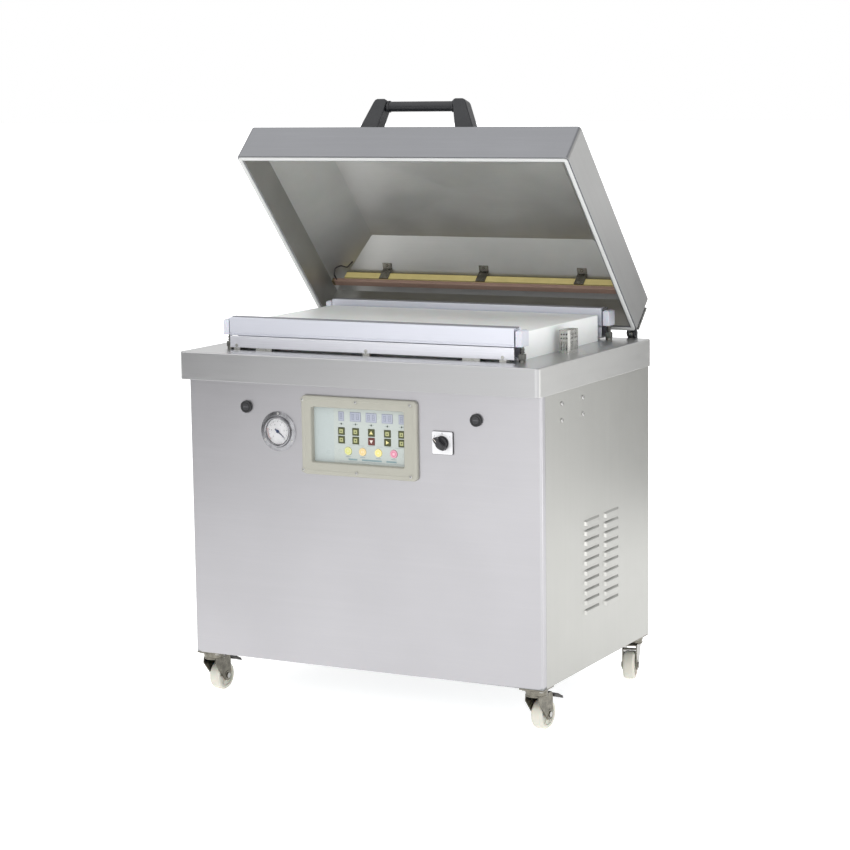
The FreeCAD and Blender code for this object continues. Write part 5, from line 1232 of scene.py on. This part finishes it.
def caster_pieces(name):
    """Pressed swivel head with rolled rims, stamped fork legs, axle bolt and a nylon wheel with its hub."""
    place = caster_frame(name)
    fork, wheel = f"fork_{name}", f"wheel_{name}"

    def on_axle(reach, hand):
        return at(WHEEL_TRAIL, hand * reach, AXLE_LEVEL) @ turned(-90 * hand, "X")

    rings = []
    for radius, low, high in ((23.6, 76.0, 79.0), (24.0, 84.6, 88.4)):
        rings.append(lathe([(15, low), (radius - 0.8, low), (radius, low + 0.9), (radius, high - 0.9),
                            (radius - 0.8, high), (15, high)], 56))
    rings.append(lathe([(14, 79.0), (21.2, 79.0), (20.0, 81.0), (21.4, 84.6), (14, 84.6)], 56))
    piece(fork + "_races", joined(*rings), place, fork, ZINC)
    outline = [(-18, 78), (34, 78), (37.6, 68), (38, 37.5), (36.4, 29.0), (33.4, 23.4), (29.2, 21.0),
               (22.8, 21.0), (18.8, 23.4), (15.6, 29.6), (8.0, 46.0), (-8.0, 61.0), (-17.6, 66.0)]
    legs = [prism(outline, low, low + 2.6, 0.7, 2) for low in (-16.6, 14.0)]
    legs.append(block(-18, 34, -16.5, 16.5, 75, 78, 0.6, 2))
    for hand in (-1, 1):
        legs.append(moved(lathe([(6, 0), (11.5, 0), (11.5, 0.4), (10.5, 0.9), (6.4, 0.9)], 40),
                          on_axle(16.5, hand)))
    piece(fork + "_legs", joined(*legs), place, fork, ZINC)
    bolts = [moved(hex_head(11.0, 2.0, 6.4), on_axle(16.5, hand)) for hand in (-1, 1)]
    piece(fork + "_axle", joined(*bolts), place, fork, STEEL_SCREW)
    bolts = [moved(hex_head(8.0, 2.6), at(dx, dy, 90) @ turned(180, "X"))
             for dx in (-20, 20) for dy in (-20, 20)]
    swivel = Vector(JOINTS[f"swivel_{name}"]["pos_m"])
    plate_place = Matrix.Translation((swivel.x, swivel.y, 0)) @ MM
    piece(f"plate_bolts_{name}", joined(*bolts), plate_place, "cabinet", STEEL_SCREW)
    hub = []
    for hand in (-1, 1):
        hub.append(moved(lathe([(4.6, 0), (9.4, 0), (9.4, 0.5), (8.8, 0.9), (5.0, 0.9), (4.6, 0.5)], 40),
                         on_axle(12.1, hand)))
        for spoke in range(6):
            web = block(11.0, 22.6, -0.9, 0.9, 0.0, 2.4, 0.4, 2)
            hub.append(moved(web, on_axle(9.6, hand) @ turned(60 * spoke, "Z")))
    piece(wheel + "_hub", joined(*hub), place, wheel, NYLON)


for caster_name in ("front_left", "front_right", "rear_left", "rear_right"):
    caster_pieces(caster_name)

# Broken edges, in mm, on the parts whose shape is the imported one.
SOFTENED = {0.3: ("switch_plate", "rear_fittings", "fork_front_left", "fork_front_right", "fork_rear_left",
                  "fork_rear_right"),
            0.4: ("caster_plates", "cabinet_frame", "spring_rods"), 0.5: ("port_cover",),
            0.6: ("lid_hinge_arms", "rear_brackets", "seal_transformer"),
            0.8: ("pedal_front_left", "pedal_front_right"), 1.0: ("vacuum_pump",)}
for width, softened in SOFTENED.items():
    for node_name in softened:
        modifier = NODES[node_name].modifiers.new("Edges", "BEVEL")
        modifier.width = width / 1000
        modifier.segments = 2
        modifier.limit_method = "ANGLE"
        modifier.angle_limit = math.radians(40)


# ------------------------------------------------------------------------- camera, light, surroundings
YAW, PITCH, ROLL = (math.radians(angle) for angle in (27.65, 8.25, -0.77))
CAMERA_PLACE, LENS = (2.406, -4.5903, 1.329), 101.2


def make_camera():
    """Roughly level, to the operator's right of the machine and a little above its bench."""
    ahead = Vector((-math.sin(YAW) * math.cos(PITCH), math.cos(YAW) * math.cos(PITCH), -math.sin(PITCH)))
    level = Vector((math.cos(YAW), math.sin(YAW), 0.0))
    above = level.cross(ahead)
    right = math.cos(ROLL) * level + math.sin(ROLL) * above
    up = math.cos(ROLL) * above - math.sin(ROLL) * level
    data = bpy.data.cameras.new("Camera")
    data.lens = LENS
    camera = bpy.data.objects.new("Camera", data)
    camera.matrix_world = Matrix((
        (right.x, up.x, -ahead.x, CAMERA_PLACE[0]), (right.y, up.y, -ahead.y, CAMERA_PLACE[1]),
        (right.z, up.z, -ahead.z, CAMERA_PLACE[2]), (0, 0, 0, 1)))
    bpy.context.scene.collection.objects.link(camera)
    bpy.context.scene.camera = camera


def make_light(name, place, target, width, height, power):
    data = bpy.data.lights.new(name, "AREA")
    data.shape = "RECTANGLE"
    data.size = width
    data.size_y = height
    data.energy = power
    light = bpy.data.objects.new(name, data)
    light.location = place
    light.rotation_euler = (Vector(target) - Vector(place)).to_track_quat("-Z", "Y").to_euler()
    bpy.context.scene.collection.objects.link(light)


def make_world():
    """A pale studio: white round the horizon, greyer overhead."""
    world = bpy.data.worlds.new("Studio")
    world.use_nodes = True
    bpy.context.scene.world = world
    tree = world.node_tree
    source = add(tree, "ShaderNodeTexCoord").outputs["Generated"]
    height = add(tree, "ShaderNodeSeparateXYZ", {0: source}).outputs["Z"]
    ramp = add(tree, "ShaderNodeValToRGB", {0: height})
    stops = ramp.color_ramp.elements
    stops[0].position, stops[0].color = 0.0, (1.0, 1.0, 1.0, 1.0)
    stops[1].position, stops[1].color = 1.0, (0.82, 0.82, 0.83, 1.0)
    for position, value in ((0.12, 1.0), (0.35, 0.92), (0.7, 0.84)):
        stops.new(position).color = (value, value, value, 1.0)
    tree.links.new(ramp.outputs[0], tree.nodes["Background"].inputs["Color"])
    tree.nodes["Background"].inputs["Strength"].default_value = 1.0


def matt_sheet(name, width, height, grain, dark, light):
    """A sheet for the surroundings in its own XY plane, with its shader."""
    bm = bmesh.new()
    bmesh.ops.create_grid(bm, x_segments=8, y_segments=8, size=0.5)
    bm.transform(Matrix.Diagonal((width, height, 1, 1)))
    mesh = bpy.data.meshes.new(name)
    bm.to_mesh(mesh)
    bm.free()
    material, tree, shader = start_material(name + "Matt")
    cloud = noise(tree, coordinates(tree, (grain, grain, grain)), detail=2.0)
    tone = mixed(tree, cloud, (dark, dark, dark, 1.0), (light, light, light, 1.0))
    tree.links.new(tone, shader.inputs["Base Color"])
    shader.inputs["Roughness"].default_value = 0.9
    mesh.materials.append(material)
    sheet = bpy.data.objects.new(name, mesh)
    bpy.context.scene.collection.objects.link(sheet)
    return sheet, shader


def make_floor():
    floor, shader = matt_sheet("Floor", 120.0, 120.0, 0.6, 0.93, 0.95)
    shader.inputs["Emission Color"].default_value = (1.0, 1.0, 1.0, 1.0)
    shader.inputs["Emission Strength"].default_value = 0.6


def make_flag(name, place, facing, width, height, grey):
    """A matt studio card, out of the camera's sight, that shades one side of the reflections."""
    card, _ = matt_sheet(name, width, height, 40.0, grey, grey * 1.1)
    card.location = place
    card.rotation_euler = (Vector(facing) - Vector(place)).to_track_quat("Z", "Y").to_euler()
    card.visible_camera = False


def make_sun():
    """Broad, very soft light from the upper left, as from a large overhead softbox."""
    data = bpy.data.lights.new("Sun", "SUN")
    data.energy = 0.9
    data.angle = math.radians(75)
    sun = bpy.data.objects.new("Sun", data)
    sun.rotation_euler = Vector((0.45, 0.5, -1.2)).to_track_quat("-Z", "Y").to_euler()
    bpy.context.scene.collection.objects.link(sun)


make_camera()
make_sun()
make_world()
make_floor()
make_flag("FlagLeft", (-2.7, -2.6, 0.8), (-0.4, 0.0, 0.6), 2.4, 2.8, 0.16)
make_flag("FlagRear", (0.975, 2.3, 0.43), (0.975, 0.2, 0.43), 1.25, 0.84, 0.2)
make_light("Front", (1.6, -4.2, 1.7), (0.0, 0.0, 0.75), 2.0, 1.6, 28)
make_light("Key", (-2.6, -4.2, 3.0), (0.0, 0.0, 0.7), 3.0, 2.4, 20)
make_light("Fill", (4.2, -2.6, 2.2), (0.0, 0.0, 0.6), 2.4, 2.4, 8)
make_light("Glint", (1.7, 0.08, 0.24), (0.425, 0.0, 0.3), 0.4, 0.42, 1.2)

bpy.context.scene.view_settings.view_transform = "Standard"
